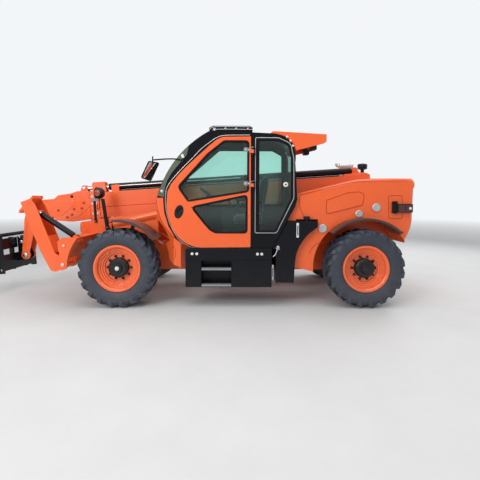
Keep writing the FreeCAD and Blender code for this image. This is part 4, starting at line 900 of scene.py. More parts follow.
def arc(start: Flat, through: Flat, end: Flat, steps: int = 12) -> list[Flat]:
    """Points along the arc of a circle through three points.

    Args:
        start: first point.
        through: a point on the arc.
        end: last point.
        steps: stretches along it.

    Returns:
        The points.
    """
    (ax, ay), (bx, by), (cx, cy) = start, through, end
    double = 2 * (ax * (by - cy) + bx * (cy - ay) + cx * (ay - by))
    a2, b2, c2 = ax * ax + ay * ay, bx * bx + by * by, cx * cx + cy * cy
    ox = (a2 * (by - cy) + b2 * (cy - ay) + c2 * (ay - by)) / double
    oy = (a2 * (cx - bx) + b2 * (ax - cx) + c2 * (bx - ax)) / double
    radius = math.hypot(ax - ox, ay - oy)
    first, last = math.atan2(ay - oy, ax - ox), math.atan2(cy - oy, cx - ox)
    passing = math.atan2(by - oy, bx - ox)
    turn = (last - first) % (2 * math.pi)
    if (passing - first) % (2 * math.pi) > turn:
        turn -= 2 * math.pi
    return [(ox + radius * math.cos(first + turn * k / steps), oy + radius * math.sin(first + turn * k / steps))
            for k in range(steps + 1)]


UP = (0.0, 0.0, 1.0)
LEFT = (0.0, 1.0, 0.0)
RIGHT = (0.0, -1.0, 0.0)
AHEAD = (1.0, 0.0, 0.0)
BACK = (-1.0, 0.0, 0.0)


@dataclass
class Cab:
    """Window rubbers, hinges, handle and small fittings of the cab and its door."""

    door_face: float = 1.099
    wall_face: float = 1.055
    right_face: float = 0.285
    seal: float = 0.034
    seal_rise: float = 0.007
    cover: float = 0.014
    upper: tuple = ((-0.090, 2.440, 0.05), (0.265, 2.440, 0.07), (0.505, 2.250, 0.10), (0.935, 1.775, 0.07),
                    (0.790, 1.565, 0.05), (-0.090, 1.710, 0.05))
    lower: tuple = ((-0.070, 1.105, 0.05), (-0.070, 1.655, 0.05), (0.745, 1.480, 0.05), (0.530, 1.215, 0.12),
                    (0.400, 1.105, 0.10))
    rear: tuple = ((-0.232, 2.470, 0.05), (-0.232, 1.120, 0.05), (-0.500, 1.120, 0.06), (-0.740, 1.620, 0.08),
                   (-0.735, 2.200, 0.20), (-0.690, 2.400, 0.10), (-0.520, 2.470, 0.08))
    right: tuple = ((-0.700, 1.500, 0.05), (-0.690, 2.340, 0.06), (-0.520, 2.430, 0.06), (0.380, 2.430, 0.08),
                    (0.900, 1.980, 0.10), (1.090, 1.600, 0.08), (1.050, 1.480, 0.04))
    line: tuple = ((-0.188, 2.502, 0.03), (-0.188, 1.094, 0.03), (-0.514, 1.094, 0.05), (-0.768, 1.612, 0.09),
                   (-0.762, 2.205, 0.22), (-0.712, 2.418, 0.11), (-0.535, 2.502, 0.10))
    door_edge: tuple = ((-0.110, 2.534), (0.255, 2.527), (0.385, 2.488), (0.485, 2.420), (0.603, 2.326), (0.712, 2.212),
                        (0.842, 2.083), (0.974, 1.942), (1.062, 1.834), (1.110, 1.740), (1.128, 1.580),
                        (1.112, 1.400), (1.052, 1.205), (0.944, 1.018), (0.820, 0.925), (0.660, 0.879), (-0.110, 0.880))
    door_lip: tuple = ((0.330, 2.474), (0.395, 2.440), (0.480, 2.372), (0.640, 2.226), (0.815, 2.064), (0.940, 1.932),
                       (1.040, 1.806), (1.088, 1.700), (1.098, 1.600), (1.060, 1.620), (1.020, 1.760), (0.455, 2.345),
                       (0.360, 2.430))
    band: tuple = ((0.790, 2.335), (0.812, 2.246), (0.944, 2.088), (1.036, 1.975), (1.094, 1.880), (1.120, 1.815),
                   (1.136, 1.742), (1.150, 1.624))
    hinge_x: float = -0.150

    def rubber(self, name: str, outline: Sequence[Sequence[float]], face: float, way: float, body: str) -> None:
        """A rubber profile round a window.

        Args:
            name: name of the piece.
            outline: the opening in the panel.
            face: y of the panel's outer face.
            way: 1 where that face looks left, or -1.
            body: what the window moves with.
        """
        edge = moved(rounded(side(outline), 8), self.cover)
        shape = Shape().border(edge, self.seal, face - 0.020 * way, face + self.seal_rise * way)
        shape.piece(name, SEAL, body)

    def windows(self) -> None:
        """Rubbers of the side windows and the bright line round the rear one."""
        self.rubber("seal_door_upper", self.upper, self.door_face, 1, "door")
        self.rubber("seal_door_lower", self.lower, self.door_face, 1, "door")
        self.rubber("seal_rear_side", self.rear, self.wall_face, 1, "root")
        self.rubber("seal_right_side", self.right, self.right_face, -1, "root")
        line = rounded(side(self.line), 8)
        Shape().border(line, 0.010, self.wall_face - 0.002, self.wall_face + 0.004).piece("rear_window_line", SILVER)
        lip = Shape()
        lip.tube(smooth_path([at(x, self.wall_face + 0.001, z) for x, z in self.door_edge], 5), 0.0055, 8)
        lip.piece("door_frame_line", SILVER)
        outer = [(x - 0.005, z + 0.002) for x, z in arc((0.700, 0.870), (1.130, 1.180), (1.262, 1.580), 40) if z > 0.985]
        inner = [(x + 0.033, z - 0.009) for x, z in self.door_edge if 1.0 < z < 1.600]
        top = [(1.252, 1.612), (1.160, 1.612)]
        cowl = Shape().prism(side([*outer, *top, *inner]), self.wall_face - 0.004, self.wall_face + 0.0022)
        cowl.piece("cab_front_cowl", ORANGE)

    def screen(self) -> None:
        """Rubbers along the curved windscreen and the back window, with the wiper."""
        curve = [(1.248, 1.520), *arc((1.240, 1.600), (1.030, 2.075), (0.560, 2.503), 14)]
        curve = side(curve)
        frame_shape = Shape()
        for y in (0.336, 1.004):
            frame_shape.tube(smooth_path([Vector((x - 0.004, y, z)) for x, z in curve], 3), 0.013, 8)
        outer = [(x - 0.005, z) for x, z in arc((1.262, 1.580), (1.040, 2.085), (0.470, 2.600), 40) if 1.62 < z < 2.38]
        edge = Shape().prism(side([*outer, *self.band]), self.wall_face - 0.004, self.wall_face + 0.0025)
        edge.piece("windscreen_edge", TINTED)
        for index in (0, -1):
            x, z = curve[index]
            frame_shape.tube([Vector((x - 0.004, 0.336, z)), Vector((x - 0.004, 1.004, z))], 0.013, 8)
        frame_shape.piece("seal_windscreen", SEAL)
        back = [side([point])[0] for point in ((-0.795, 1.560), (-0.779, 2.140), (-0.745, 2.330))]
        rear = Shape()
        for y in (0.336, 1.004):
            rear.tube(smooth_path([Vector((x + 0.008, y, z)) for x, z in back], 4), 0.013, 8)
        for x, z in (back[0], back[-1]):
            rear.tube([Vector((x + 0.008, 0.336, z)), Vector((x + 0.008, 1.004, z))], 0.013, 8)
        rear.piece("seal_back_window", SEAL)
        wiper = Shape()
        root = at(1.262, 0.600, 1.540)
        wiper.disc_stack(root + Vector((-0.03, 0, 0)), AHEAD, [(0, 0.024), (0.030, 0.024), (0.036, 0.018)], 20)
        arm = [root, at(1.258, 0.640, 1.720), at(1.215, 0.690, 1.900)]
        wiper.tube(smooth_path(arm, 5), 0.007, 8)
        blade = [at(1.262, 0.690, 1.640), at(1.222, 0.690, 1.880), at(1.118, 0.690, 2.050)]
        wiper.tube(smooth_path(blade, 5), 0.009, 6)
        wiper.piece("windscreen_wiper", PLASTIC)

    def door_fittings(self) -> None:
        """Handle recess and lever, hinge plates with their bolts, and the pressed edge of the door."""
        lip = Shape().prism(side(self.door_lip), self.door_face - 0.010, self.door_face + 0.0015)
        lip.piece("door_curved_lip", ORANGE, "door")
        dish = Shape()
        centre = at(0.922, self.door_face + 0.0005, 1.410)
        ring = [(centre.x + 0.064 * math.cos(a) - 0.018 * math.sin(a), centre.z + 0.098 * math.sin(a))
                for a in (2 * math.pi * k / 36 for k in range(36))]
        dish.border(ring, 0.013, centre.y - 0.004, centre.y + 0.007)
        dish.prism(moved(ring, -0.010), centre.y - 0.004, centre.y + 0.0015)
        dish.piece("door_handle_dish", PLASTIC, "door")
        lever = Shape()
        grip = [at(0.885, self.door_face + 0.002, 1.452), at(0.905, self.door_face + 0.010, 1.462),
                at(0.940, self.door_face + 0.011, 1.440), at(0.955, self.door_face + 0.006, 1.395)]
        lever.tube(smooth_path(grip, 6), 0.011, 12)
        lever.disc_stack(at(0.895, self.door_face - 0.004, 1.375), LEFT, [(0, 0.016), (0.010, 0.016), (0.012, 0.013)], 24)
        lever.piece("door_handle_lever", BLACK, "door")
        plates, bolts = Shape(), Shape()
        for z in (2.315, 1.825):
            outline = rounded(side([(-0.142, z - 0.034, 0.01), (-0.020, z - 0.030, 0.02), (-0.020, z + 0.030, 0.02),
                                    (-0.142, z + 0.034, 0.01)]))
            plates.prism(outline, self.door_face - 0.001, self.door_face + 0.006, 0.0015)
            for x in (-0.046, -0.092):
                bolts.bolt(at(x, self.door_face + 0.006, z), LEFT, 0.020, 0.009)
        plates.piece("door_hinge_plates", GREY_PAINT, "door")
        bolts.piece("door_hinge_bolts", ZINC, "door")
        pins = Shape()
        for z in (2.290, 1.800):
            pins.disc_stack(at(self.hinge_x, 1.115, z + 0.055), UP, [(0, 0.017), (0.006, 0.017), (0.009, 0.010)], 20)
        pins.piece("door_hinge_pins", ZINC)

    def fittings(self) -> None:
        """Latch knob, pillar bracket, side lamp, roof bolts and roof lamp."""
        knob = Shape().disc_stack(at(-0.638, 1.044, 1.814), LEFT,
                                  [(0, 0.026), (0.022, 0.026), (0.026, 0.036), (0.036, 0.036), (0.040, 0.030)], 32)
        knob.piece("window_latch_knob", WHITE)
        core = Shape().disc_stack(at(-0.638, 1.083, 1.814), LEFT, [(0, 0.013), (0.002, 0.013), (0.003, 0.009)], 24)
        core.piece("window_latch_core", PLASTIC)
        bracket = Shape().prism(rounded(side([(0.845, 2.205, 0.01), (0.880, 2.190, 0.01), (0.900, 2.240, 0.01),
                                              (0.866, 2.258, 0.01)])), 1.0552, 1.066, 0.002)
        bracket.piece("pillar_bracket", WHITE)
        marker = Shape().disc_stack(at(1.178, 1.054, 1.709), LEFT, [(0, 0.022), (0.012, 0.022), (0.018, 0.014)], 24)
        marker.piece("pillar_marker", SILVER)
        bolts = Shape()
        for x in (-0.080, 0.090, 0.250):
            bolts.bolt(at(x, 1.0345, 2.630), LEFT, 0.022, 0.010)
        bolts.piece("roof_cap_bolts", ZINC)
        lamp = Shape().disc_stack(at(0.409, 1.030, 2.615), LEFT, [(0, 0.022), (0.012, 0.022), (0.018, 0.016)], 24)
        lamp.piece("roof_cap_lamp", SILVER)

    def build(self) -> None:
        """Makes every fitting of the cab."""
        self.windows()
        self.screen()
        self.door_fittings()
        self.fittings()


@dataclass
class CabInterior:
    """The padded seat, the steering wheel, the levers and the dashboard."""

    seat_y: float = 0.680
    cell: float = 0.006
    pressure: float = 4.0
    frames: int = 20
    cap: float = 0.024

    def cushion(self, name: str, node: str, rings: Sequence[Sequence[Vector]]) -> None:
        """One stuffed pad, blown up against its cover.

        Args:
            name: name of the piece.
            node: CAD node whose place it takes.
            rings: closed rings of its plain form.
        """
        shape = Shape().loft(rings)
        pad = shape.piece(name, CLOTH)
        self.inflate(pad)
        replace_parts(pad, node)

    def inflate(self, pad: bpy.types.Object) -> None:
        """Remeshes a pad and puffs it with a cloth simulation, then keeps the result.

        Args:
            pad: the object.
        """
        remesh = pad.modifiers.new("even", "REMESH")
        remesh.mode = "VOXEL"
        remesh.voxel_size = self.cell
        self.keep(pad)
        before = [vertex.co.copy() for vertex in pad.data.vertices]
        cloth = pad.modifiers.new("puff", "CLOTH")
        cloth.settings.use_pressure = True
        cloth.settings.uniform_pressure_force = self.pressure
        cloth.settings.effector_weights.gravity = 0.0
        cloth.settings.quality = 4
        scene = bpy.context.scene
        for step in range(1, self.frames + 1):
            scene.frame_set(step)
        self.keep(pad)
        scene.frame_set(1)
        for vertex, old in zip(pad.data.vertices, before):
            step = vertex.co - old
            if step.length > self.cap:
                vertex.co = old + step * (self.cap / step.length)
        finer = pad.modifiers.new("finer", "SUBSURF")
        finer.levels = finer.render_levels = 1
        pad.data.polygons.foreach_set("use_smooth", [True] * len(pad.data.polygons))

    def keep(self, pad: bpy.types.Object) -> None:
        """Replaces a pad's mesh by what its modifiers make of it."""
        shown = pad.evaluated_get(bpy.context.evaluated_depsgraph_get())
        mesh = bpy.data.meshes.new_from_object(shown)
        pad.modifiers.clear()
        pad.data = mesh

    def seat(self) -> None:
        """Cushion and backrest in place of the plain CAD blocks."""
        low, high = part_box("seat_cushion")
        inset = 0.022
        plan = rounded([(low.x + inset, low.y + inset, 0.05), (high.x - inset, low.y + inset, 0.09),
                        (high.x - inset, high.y - inset, 0.09), (low.x + inset, high.y - inset, 0.05)], 8)
        middle_y = (low.y + high.y) / 2
        levels = [(low.z + 0.002, 0.95), (low.z + 0.030, 1.0), (high.z - 0.050, 1.0), (high.z - 0.026, 0.94)]
        rings = []
        for z, size in levels:
            centre = Vector(((low.x + high.x) / 2, middle_y))
            rings.append([Vector((centre.x + (x - centre.x) * size, centre.y + (y - centre.y) * size,
                                  z + 0.018 * ((y - centre.y) / 0.25) ** 2 * (z > low.z + 0.04)))
                          for x, y in plan])
        self.cushion("seat_cushion_cover", "seat_cushion", rings)
        low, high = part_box("seat_back")
        lean = 0.115
        face = rounded([(low.y + inset, low.z + 0.02, 0.05), (high.y - inset, low.z + 0.02, 0.05),
                        (high.y - 0.055, high.z - 0.022, 0.10), (low.y + 0.055, high.z - 0.022, 0.10)], 8)
        rings = []
        for depth, size in ((0.028, 0.94), (0.045, 1.0), (0.078, 1.0), (0.092, 0.93)):
            ring = []
            for y, z in face:
                along = (z - low.z) / (high.z - low.z)
                mid_y, mid_z = (low.y + high.y) / 2, (low.z + high.z) / 2
                wing = 0.030 * ((y - mid_y) / 0.23) ** 2 * (depth > 0.05)
                ring.append(Vector((low.x + lean * (1 - along) + depth + wing, mid_y + (y - mid_y) * size,
                                    mid_z + (z - mid_z) * size)))
            rings.append(ring)
        self.cushion("seat_back_cover", "seat_back", rings)
        rest = Shape()
        for y in (self.seat_y - 0.262, self.seat_y + 0.262):
            arm = [at(-0.300, y, 1.560), at(-0.200, y, 1.590), at(0.020, y, 1.590), at(0.060, y, 1.580)]
            rest.tube(smooth_path(arm, 5), 0.022, 12)
            rest.bar(at(-0.290, y, 1.560), at(-0.300, y * 0.9 + self.seat_y * 0.1, 1.400), 0.012)
        rest.piece("seat_armrests", PLASTIC)
        bellows = Shape()
        base_low, base_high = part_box("seat_base")
        for step in range(5):
            z = base_high.z - 0.050 - step * 0.042
            outline = [(base_low.x - 0.004, z), (base_high.x + 0.004, z), (base_high.x + 0.014, z + 0.018),
                       (base_high.x + 0.004, z + 0.036), (base_low.x - 0.004, z + 0.036), (base_low.x - 0.014, z + 0.018)]
            bellows.prism(outline, base_low.y - 0.008, base_high.y + 0.008)
        bellows.piece("seat_bellows", SEAL, bevel=0.003)

    def steering(self) -> None:
        """Rim, spokes, boss and knob of the steering wheel."""
        centre = at(0.505, self.seat_y, 1.660)
        axis = Vector((-0.195, 0.0, 0.260)).normalized()
        across = Vector(LEFT)
        up = axis.cross(across)
        rim = Shape()
        ring = [centre + (across * math.cos(a) + up * math.sin(a)) * 0.185
                for a in (2 * math.pi * k / 48 for k in range(48))]
        rim.tube(ring, 0.0155, 12, closed=True)
        rim.disc_stack(centre - axis * 0.030, axis, [(0, 0.030), (0.016, 0.052), (0.038, 0.052), (0.044, 0.044)], 32)
        for angle in (math.radians(-90), math.radians(30), math.radians(150)):
            out = across * math.cos(angle) + up * math.sin(angle)
            rim.tube([centre + out * 0.03 - axis * 0.008, centre + out * 0.10 - axis * 0.014, centre + out * 0.184], 0.010, 10)
        knob = centre + (across * 0.6 + up * 0.8) * 0.185
        rim.disc_stack(knob, axis, [(0, 0.012), (0.030, 0.012), (0.036, 0.022), (0.062, 0.024), (0.070, 0.014)], 20)
        rim.piece("steering_wheel", PLASTIC)

    def dash(self) -> None:
        """Instrument hood, switches, pedals and joystick."""
        hood = Shape()
        hood.prism(rounded(side([(0.650, 1.475, 0.02), (0.880, 1.475, 0.03), (0.860, 1.560, 0.04), (0.720, 1.590, 0.03)])),
                   0.520, 0.840)
        hood.piece("instrument_hood", TRIM, bevel=0.008)
        panel = Shape()
        panel.prism(side([(0.640, 1.485), (0.648, 1.480), (0.716, 1.572), (0.706, 1.576)]), 0.545, 0.815)
        for y in (0.600, 0.680, 0.760):
            panel.disc_stack(at(0.680, y, 1.530), (-0.8, 0, 0.58), [(0, 0.030), (0.010, 0.030), (0.012, 0.024)], 24)
        panel.piece("instruments", PLASTIC)
        stick = Shape()
        stick.disc_stack(at(0.060, 0.378, 1.450), UP, [(0, 0.050), (0.012, 0.048), (0.040, 0.026), (0.055, 0.014)], 24)
        grip = [at(0.060, 0.378, 1.500), at(0.064, 0.378, 1.560), at(0.078, 0.378, 1.620), at(0.084, 0.378, 1.660)]
        stick.tube(smooth_path(grip, 5), 0.020, 14)
        for x in (-0.090, -0.030):
            stick.bar(at(x, 0.378, 1.448), at(x + 0.01, 0.378, 1.520), 0.006)
            stick.disc_stack(at(x + 0.010, 0.378, 1.512), UP, [(0, 0.010), (0.010, 0.017), (0.024, 0.017), (0.032, 0.008)], 16)
        stick.piece("joystick", PLASTIC)
        pedals = Shape()
        for y, wide in ((0.560, 0.050), (0.800, 0.070)):
            pedals.prism(rounded(side([(0.560, 0.985, 0.005), (0.572, 0.978, 0.005), (0.628, 1.092, 0.005),
                                       (0.616, 1.098, 0.005)])), y - wide / 2, y + wide / 2)
            pedals.bar(at(0.600, y, 1.040), at(0.655, y, 1.010), 0.008)
        pedals.piece("pedals", STEEL)

    def build(self) -> None:
        """Makes the inside of the cab."""
        self.seat()
        self.steering()
        self.dash()


PIVOT = at(-WHEELBASE / 2 - 0.28, 0.0, 1.78)


def boom_at(u: float, y: float, w: float) -> Vector:
    """A place on the lowered boom, u along it from its pivot and w up."""
    cos, sin = math.cos(BOOM_DROP), math.sin(BOOM_DROP)
    return PIVOT + Vector((u * cos + w * sin, y, w * cos - u * sin))


def boom_side(points: Iterable[Flat]) -> list[Flat]:
    """An outline (u, w) of the boom as x and z of the model."""
    return [(place.x, place.z) for place in (boom_at(u, 0.0, w) for u, w in points)]


@dataclass
class Boom:
    """Seams, plates, pad bolts, pipes and pin plates of the telescopic boom."""

    half: float = 0.170
    mouth: float = 0.182
    collar: float = 0.180
    neck: float = 0.106

    def outer(self) -> None:
        """Weld seams, tail cover, cylinder bridge and pad bolts of the outer section."""
        seams = Shape()
        for way in (1, -1):
            seams.tube([boom_at(-0.13, way * self.half, -0.004), boom_at(4.56, way * self.half, -0.004)], 0.0045, 6)
            seams.tube([boom_at(-0.13, way * 0.166, -0.186), boom_at(4.56, way * 0.166, -0.186)], 0.005, 6)
        # The seams are darker orange: painted shade along the weld lines.
        seams.piece("boom_seams", SHADED_SEAM, "boom_outer")
        cover = Shape()
        sides = boom_side(rounded([(-0.147, 0.2525), (0.300, 0.2525), (0.290, 0.283, 0.01), (-0.070, 0.292, 0.02),
                                   (-0.140, 0.262, 0.01)]))
        for low, high in ((0.052, 0.158), (-0.158, -0.052)):
            cover.prism(sides, low, high)
        cover.piece("boom_tail_cover", WORN_ORANGE, "boom_outer", bevel=0.006)
        bridge = Shape()
        plate = boom_side(rounded([(4.470, 0.2625), (4.482, 0.410, 0.02), (4.500, 0.436, 0.02), (4.690, 0.436, 0.02),
                                   (4.708, 0.410, 0.02), (4.716, 0.2625)]))
        for low, high in ((0.050, 0.072), (-0.072, -0.050)):
            bridge.prism(plate, low, high)
        bridge.prism(boom_side([(4.500, 0.420), (4.690, 0.420), (4.690, 0.437), (4.500, 0.437)]), -0.071, 0.071)
        bridge.piece("cylinder_bridge", WORN_ORANGE, "boom_outer", bevel=0.003)
        bolts = Shape()
        up = (math.sin(BOOM_DROP), 0.0, math.cos(BOOM_DROP))
        for u in (4.600, 4.680):
            for way in (1, -1):
                for w in (0.185, 0.060, -0.110):
                    bolts.bolt(boom_at(u, way * self.mouth, w), (0, way, 0), 0.026, 0.012)
                bolts.bolt(boom_at(u, way * 0.125, 0.264), up, 0.026, 0.012)
        bolts.piece("boom_pad_bolts", ZINC, "boom_outer")

    def pipes(self) -> None:
        """Hydraulic pipes and their clamps along the right side, and on top a zinc pipe that paints the extend barrel's
        highlight.
        """
        run, clamps = Shape(), Shape()
        for w in (0.110, 0.078, 0.046):
            start, end = boom_at(0.36, -0.186, w), boom_at(4.42, -0.186, w)
            run.tube([start, end], 0.0095, 10)
            for place in (start, end):
                run.disc_stack(place, (1, 0, -0.07), [(-0.020, 0.014), (0.012, 0.014), (0.016, 0.010)], 6)
        for u in (0.55, 1.25, 1.95, 2.65, 3.35, 4.10):
            block = boom_side([(u - 0.020, 0.028), (u + 0.020, 0.028), (u + 0.020, 0.128), (u - 0.020, 0.128)])
            clamps.prism(block, -0.1702, -0.199)
        # This bright zinc pipe on top of the extend barrel is a painted highlight: it stands for the black barrel's
        # sheen.
        highlight_pipe = [boom_at(2.10, 0.068, 0.346), boom_at(4.36, 0.068, 0.346)]
        run.tube(highlight_pipe, 0.010, 10)
        run.piece("boom_pipes", ZINC, "boom_outer")
        hoses = Shape()
        for y in (-0.040, 0.0, 0.040):
            hoses.tube([boom_at(0.34, y, 0.2655), boom_at(4.38, y, 0.2655)], 0.0145, 10)
        hoses.piece("boom_top_hoses", HOSE, "boom_outer")
        clamps.piece("boom_pipe_clamps", PLASTIC, "boom_outer", bevel=0.003)

    def collars(self) -> None:
        """Plates, bolts and pin of the collar of the middle section, with a flat black disc as the painted shade of its
        hole.
        """
        plates, bolts, hole_shade = Shape(), Shape(), Shape()
        first = side(rounded([(3.238, 1.560, 0.02), (2.880, 1.592, 0.01), (2.870, 1.508, 0.01), (3.105, 1.306, 0.01),
                              (3.240, 1.425, 0.03)]))
        second = side(rounded([(2.596, 1.590, 0.01), (2.600, 1.478, 0.01), (2.802, 1.300, 0.01), (3.090, 1.200, 0.03),
                               (3.092, 1.296, 0.01), (2.852, 1.508, 0.01), (2.860, 1.594, 0.01)]))
        for way in (1, -1):
            for outline in (first, second):
                plates.prism(outline, way * self.collar, way * (self.collar + 0.005), 0.002)
            for x, z in ((3.160, 1.397), (2.891, 1.419), (2.755, 1.435), (3.005, 1.277), (2.924, 1.325), (2.720, 1.530)):
                place = at(x, way * (self.collar + 0.005), z)
                bolts.disc_stack(place, (0, way, 0), [(0, 0.021), (0.005, 0.021), (0.007, 0.017)], 24)
                bolts.bolt(place + Vector((0, way * 0.006, 0)), (0, way, 0), 0.021, 0.009)
            # A flat black disc where the collar has a hole: painted shade of the hole.
            hole_shade.disc_stack(at(2.926, way * self.collar, 1.637), (0, way, 0), [(0, 0.024), (0.003, 0.024), (0.003, 0.016)], 24)
        plates.piece("collar_plates", WORN_ORANGE, "boom_mid")
        # The collar bolts are darker orange: painted shade round each bolt.
        bolts.piece("collar_bolts", SHADED_SEAM, "boom_mid")
        hole_shade.piece("collar_hole_shade", BLACK, "boom_mid")
        pin = Shape()
        for way in (1, -1):
            pin.disc_stack(boom_at(4.856, way * 0.0605, 0.342), (0, way, 0), [(0, 0.030), (0.008, 0.030), (0.011, 0.024)], 28)
            pin.bolt(boom_at(4.856, way * 0.071, 0.342), (0, way, 0), 0.018, 0.008)
        pin.piece("extend_pin_caps", SILVER, "boom_mid")

    def head(self) -> None:
        """Pin caps and ribs of the boom head and the tool carrier."""
        caps = Shape()
        for way in (1, -1):
            caps.disc_stack(boom_at(5.620, way * 0.1035, 0.040), (0, way, 0), [(0, 0.036), (0.007, 0.036), (0.010, 0.028)], 28)
            caps.bolt(boom_at(5.620, way * 0.1125, 0.040), (0, way, 0), 0.020, 0.008)
        caps.piece("tilt_base_caps", ZINC, "boom_inner")
        carrier = Shape()
        for way in (1, -1):
            carrier.disc_stack(boom_at(5.960, way * self.neck, -0.760), (0, way, 0), [(0, 0.040), (0.008, 0.040), (0.011, 0.032)], 28)
            carrier.bolt(boom_at(5.960, way * 0.116, -0.760), (0, way, 0), 0.020, 0.008)
            carrier.disc_stack(boom_at(6.045, way * 0.0525, -0.525), (0, way, 0), [(0, 0.032), (0.008, 0.032), (0.011, 0.026)], 24)
        carrier.piece("carrier_pin_caps", ZINC, "carrier")
        lining = Shape()
        for way in (1, -1):
            lining.tube([boom_at(5.58, way * 0.095, 0.150), boom_at(5.80, way * 0.095, 0.020),
                         boom_at(5.90, way * 0.095, -0.240), boom_at(5.955, way * 0.095, -0.640)], 0.005, 6)
        lining.piece("neck_ribs", WORN_ORANGE, "boom_inner")

    def build(self) -> None:
        """Makes every detail of the boom."""
        self.outer()
        self.pipes()
        self.collars()
        self.head()


@dataclass
class Lamps:
    """Headlamps on their posts, tail lamps and work lamps."""

    x: float = 2.310
    y: float = 0.500
    z: float = 1.690

    def headlamps(self) -> None:
        """Housing, lens, reflector, indicator, plate and post of each headlamp."""
        shell, lens, bowl, amber = Shape(), Shape(), Shape(), Shape()
        posts, plates, cables = Shape(), Shape(), Shape()
        for way in (1, -1):
            centre = at(self.x, way * self.y, self.z)
            shell.lathe([(-0.062, 0.0), (-0.062, 0.046), (-0.056, 0.060), (-0.030, 0.080), (0.000, 0.090), (0.042, 0.0925),
                         (0.043, 0.0995), (0.059, 0.0998), (0.062, 0.096), (0.060, 0.089), (0.050, 0.086),
                         (0.050, 0.080)], centre, AHEAD, 48)
            bowl.lathe([(0.050, 0.084), (0.030, 0.074), (0.006, 0.052), (-0.004, 0.024), (-0.004, 0.0)], centre, AHEAD, 40)
            lens.lathe([(0.0515, 0.0865), (0.0545, 0.084), (0.059, 0.060), (0.061, 0.030), (0.0615, 0.0)], centre, AHEAD, 40)
            turn = (0, way, 0)
            flank = centre + Vector((0.004, way * 0.080, 0.0))
            shell.disc_stack(flank, turn, [(0, 0.062), (0.018, 0.062), (0.022, 0.057), (0.022, 0.050)], 40)
            amber.disc_stack(flank + Vector((0, way * 0.014, 0)), turn, [(0, 0.050), (0.014, 0.050), (0.019, 0.044), (0.022, 0.026)], 40)
            low, high = sorted((way * 0.462, way * 0.538))
            plates.prism(side(rounded([(2.323, 1.560, 0.01), (2.442, 1.560, 0.01), (2.442, 1.604, 0.01), (2.323, 1.604, 0.01)])), low, high)
            low, high = sorted((way * 0.4505, way * 0.478))
            posts.prism(side([(2.378, 1.205), (2.414, 1.205), (2.434, 1.562), (2.400, 1.562)]), low, high)
            low, high = sorted((way * 0.4505, way * 0.502))
            posts.prism(side([(2.176, 1.066), (2.220, 1.066), (2.300, 1.600), (2.256, 1.600)]), low, high)
            low, high = sorted((way * 0.4505, way * 0.500))
            posts.border(side([(2.112, 1.090), (2.186, 1.090), (2.196, 1.216), (2.122, 1.224)]), 0.014, low, high)
            loop = [at(2.330, way * 0.492, 1.560), at(2.322, way * 0.500, 1.470), at(2.336, way * 0.500, 1.415),
                    at(2.356, way * 0.500, 1.450), at(2.352, way * 0.496, 1.540)]
            cables.tube(smooth_path(loop, 6), 0.006, 8)
            plates.bolt(at(2.202, way * 0.502, 1.130), turn, 0.014, 0.007)
            plates.bolt(at(2.399, way * 0.478, 1.230), turn, 0.012, 0.006)
        housing = shell.piece("headlamp_housings", PLASTIC)
        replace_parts(housing, "lamps")
        bowl.piece("headlamp_reflectors", REFLECTOR)
        lens.piece("headlamp_lenses", LENS)
        amber.piece("headlamp_indicators", AMBER)
        posts.piece("headlamp_posts", BLACK, bevel=0.003)
        cables.piece("headlamp_cables", HOSE)
        plates.piece("headlamp_plates", GREY_PAINT)

    def tail_lamps(self) -> None:
        """Bracket and lenses of the lamps on the flanks of the tail."""
        bracket, body, red, amber, clear = (Shape() for _ in range(5))
        for way in (1, -1):
            low, high = sorted((way * 0.9853, way * 1.030))
            bracket.prism(side(rounded([(-2.312, 1.392, 0.01), (-2.246, 1.392, 0.02), (-2.246, 1.576, 0.02), (-2.312, 1.576, 0.01)])), low, high)
            for z in (1.420, 1.548):
                bracket.bolt(at(-2.279, way * 1.030, z), (0, way, 0), 0.020, 0.009)
            low, high = sorted((way * 0.992, way * 1.040))
            body.prism(side(rounded([(-2.540, 1.407, 0.015), (-2.310, 1.407, 0.01), (-2.310, 1.536, 0.01), (-2.540, 1.536, 0.015)])), low, high)
            red.prism(side(rounded([(-2.532, 1.416, 0.012), (-2.432, 1.416, 0.006), (-2.432, 1.527, 0.006), (-2.532, 1.527, 0.012)])),
                      way * 1.0395, way * 1.047, 0.003)
            amber.prism(side(rounded([(-2.424, 1.416, 0.006), (-2.326, 1.416, 0.006), (-2.326, 1.527, 0.006), (-2.424, 1.527, 0.006)])),
                        way * 1.0395, way * 1.047, 0.003)
            clear.disc_stack(at(-2.497, way * 1.046, 1.470), (0, way, 0), [(0, 0.020), (0.002, 0.020), (0.003, 0.012)], 24)
        bracket.piece("tail_lamp_brackets", BLACK)
        body.piece("tail_lamp_bodies", PLASTIC, bevel=0.003)
        red.piece("tail_lamp_red", RED)
        amber.piece("tail_lamp_amber", RED)
        clear.piece("tail_lamp_clear", WHITE)

    def work_lamps(self) -> None:
        """Rear-facing work lamps under the roof guard."""
        body, lens, hangers = Shape(), Shape(), Shape()
        for low in (0.345, 0.865):
            outline = side(rounded([(-1.106, 2.336, 0.01), (-1.040, 2.338, 0.02), (-1.012, 2.366, 0.02), (-1.012, 2.392, 0.02),
                                    (-1.040, 2.418, 0.02), (-1.106, 2.420, 0.01)]))
            body.prism(outline, low, low + 0.130)
            for index in range(5):
                x = -1.060 + 0.009 * index
                body.box(at(x, low + 0.010, 2.334), at(x + 0.004, low + 0.120, 2.424))
            lens.prism(side([(-1.109, 2.346), (-1.105, 2.346), (-1.105, 2.410), (-1.109, 2.410)]), low + 0.010, low + 0.120)
            hangers.prism(side([(-1.080, 2.416), (-1.050, 2.416), (-1.050, 2.432), (-1.080, 2.432)]), low + 0.045, low + 0.085)
        body.piece("work_lamp_bodies", PLASTIC)
        lens.piece("work_lamp_lenses", LENS)
        hangers.piece("work_lamp_hangers", BLACK)

    def build(self) -> None:
        """Makes every lamp."""
        self.headlamps()
        self.tail_lamps()
        self.work_lamps()


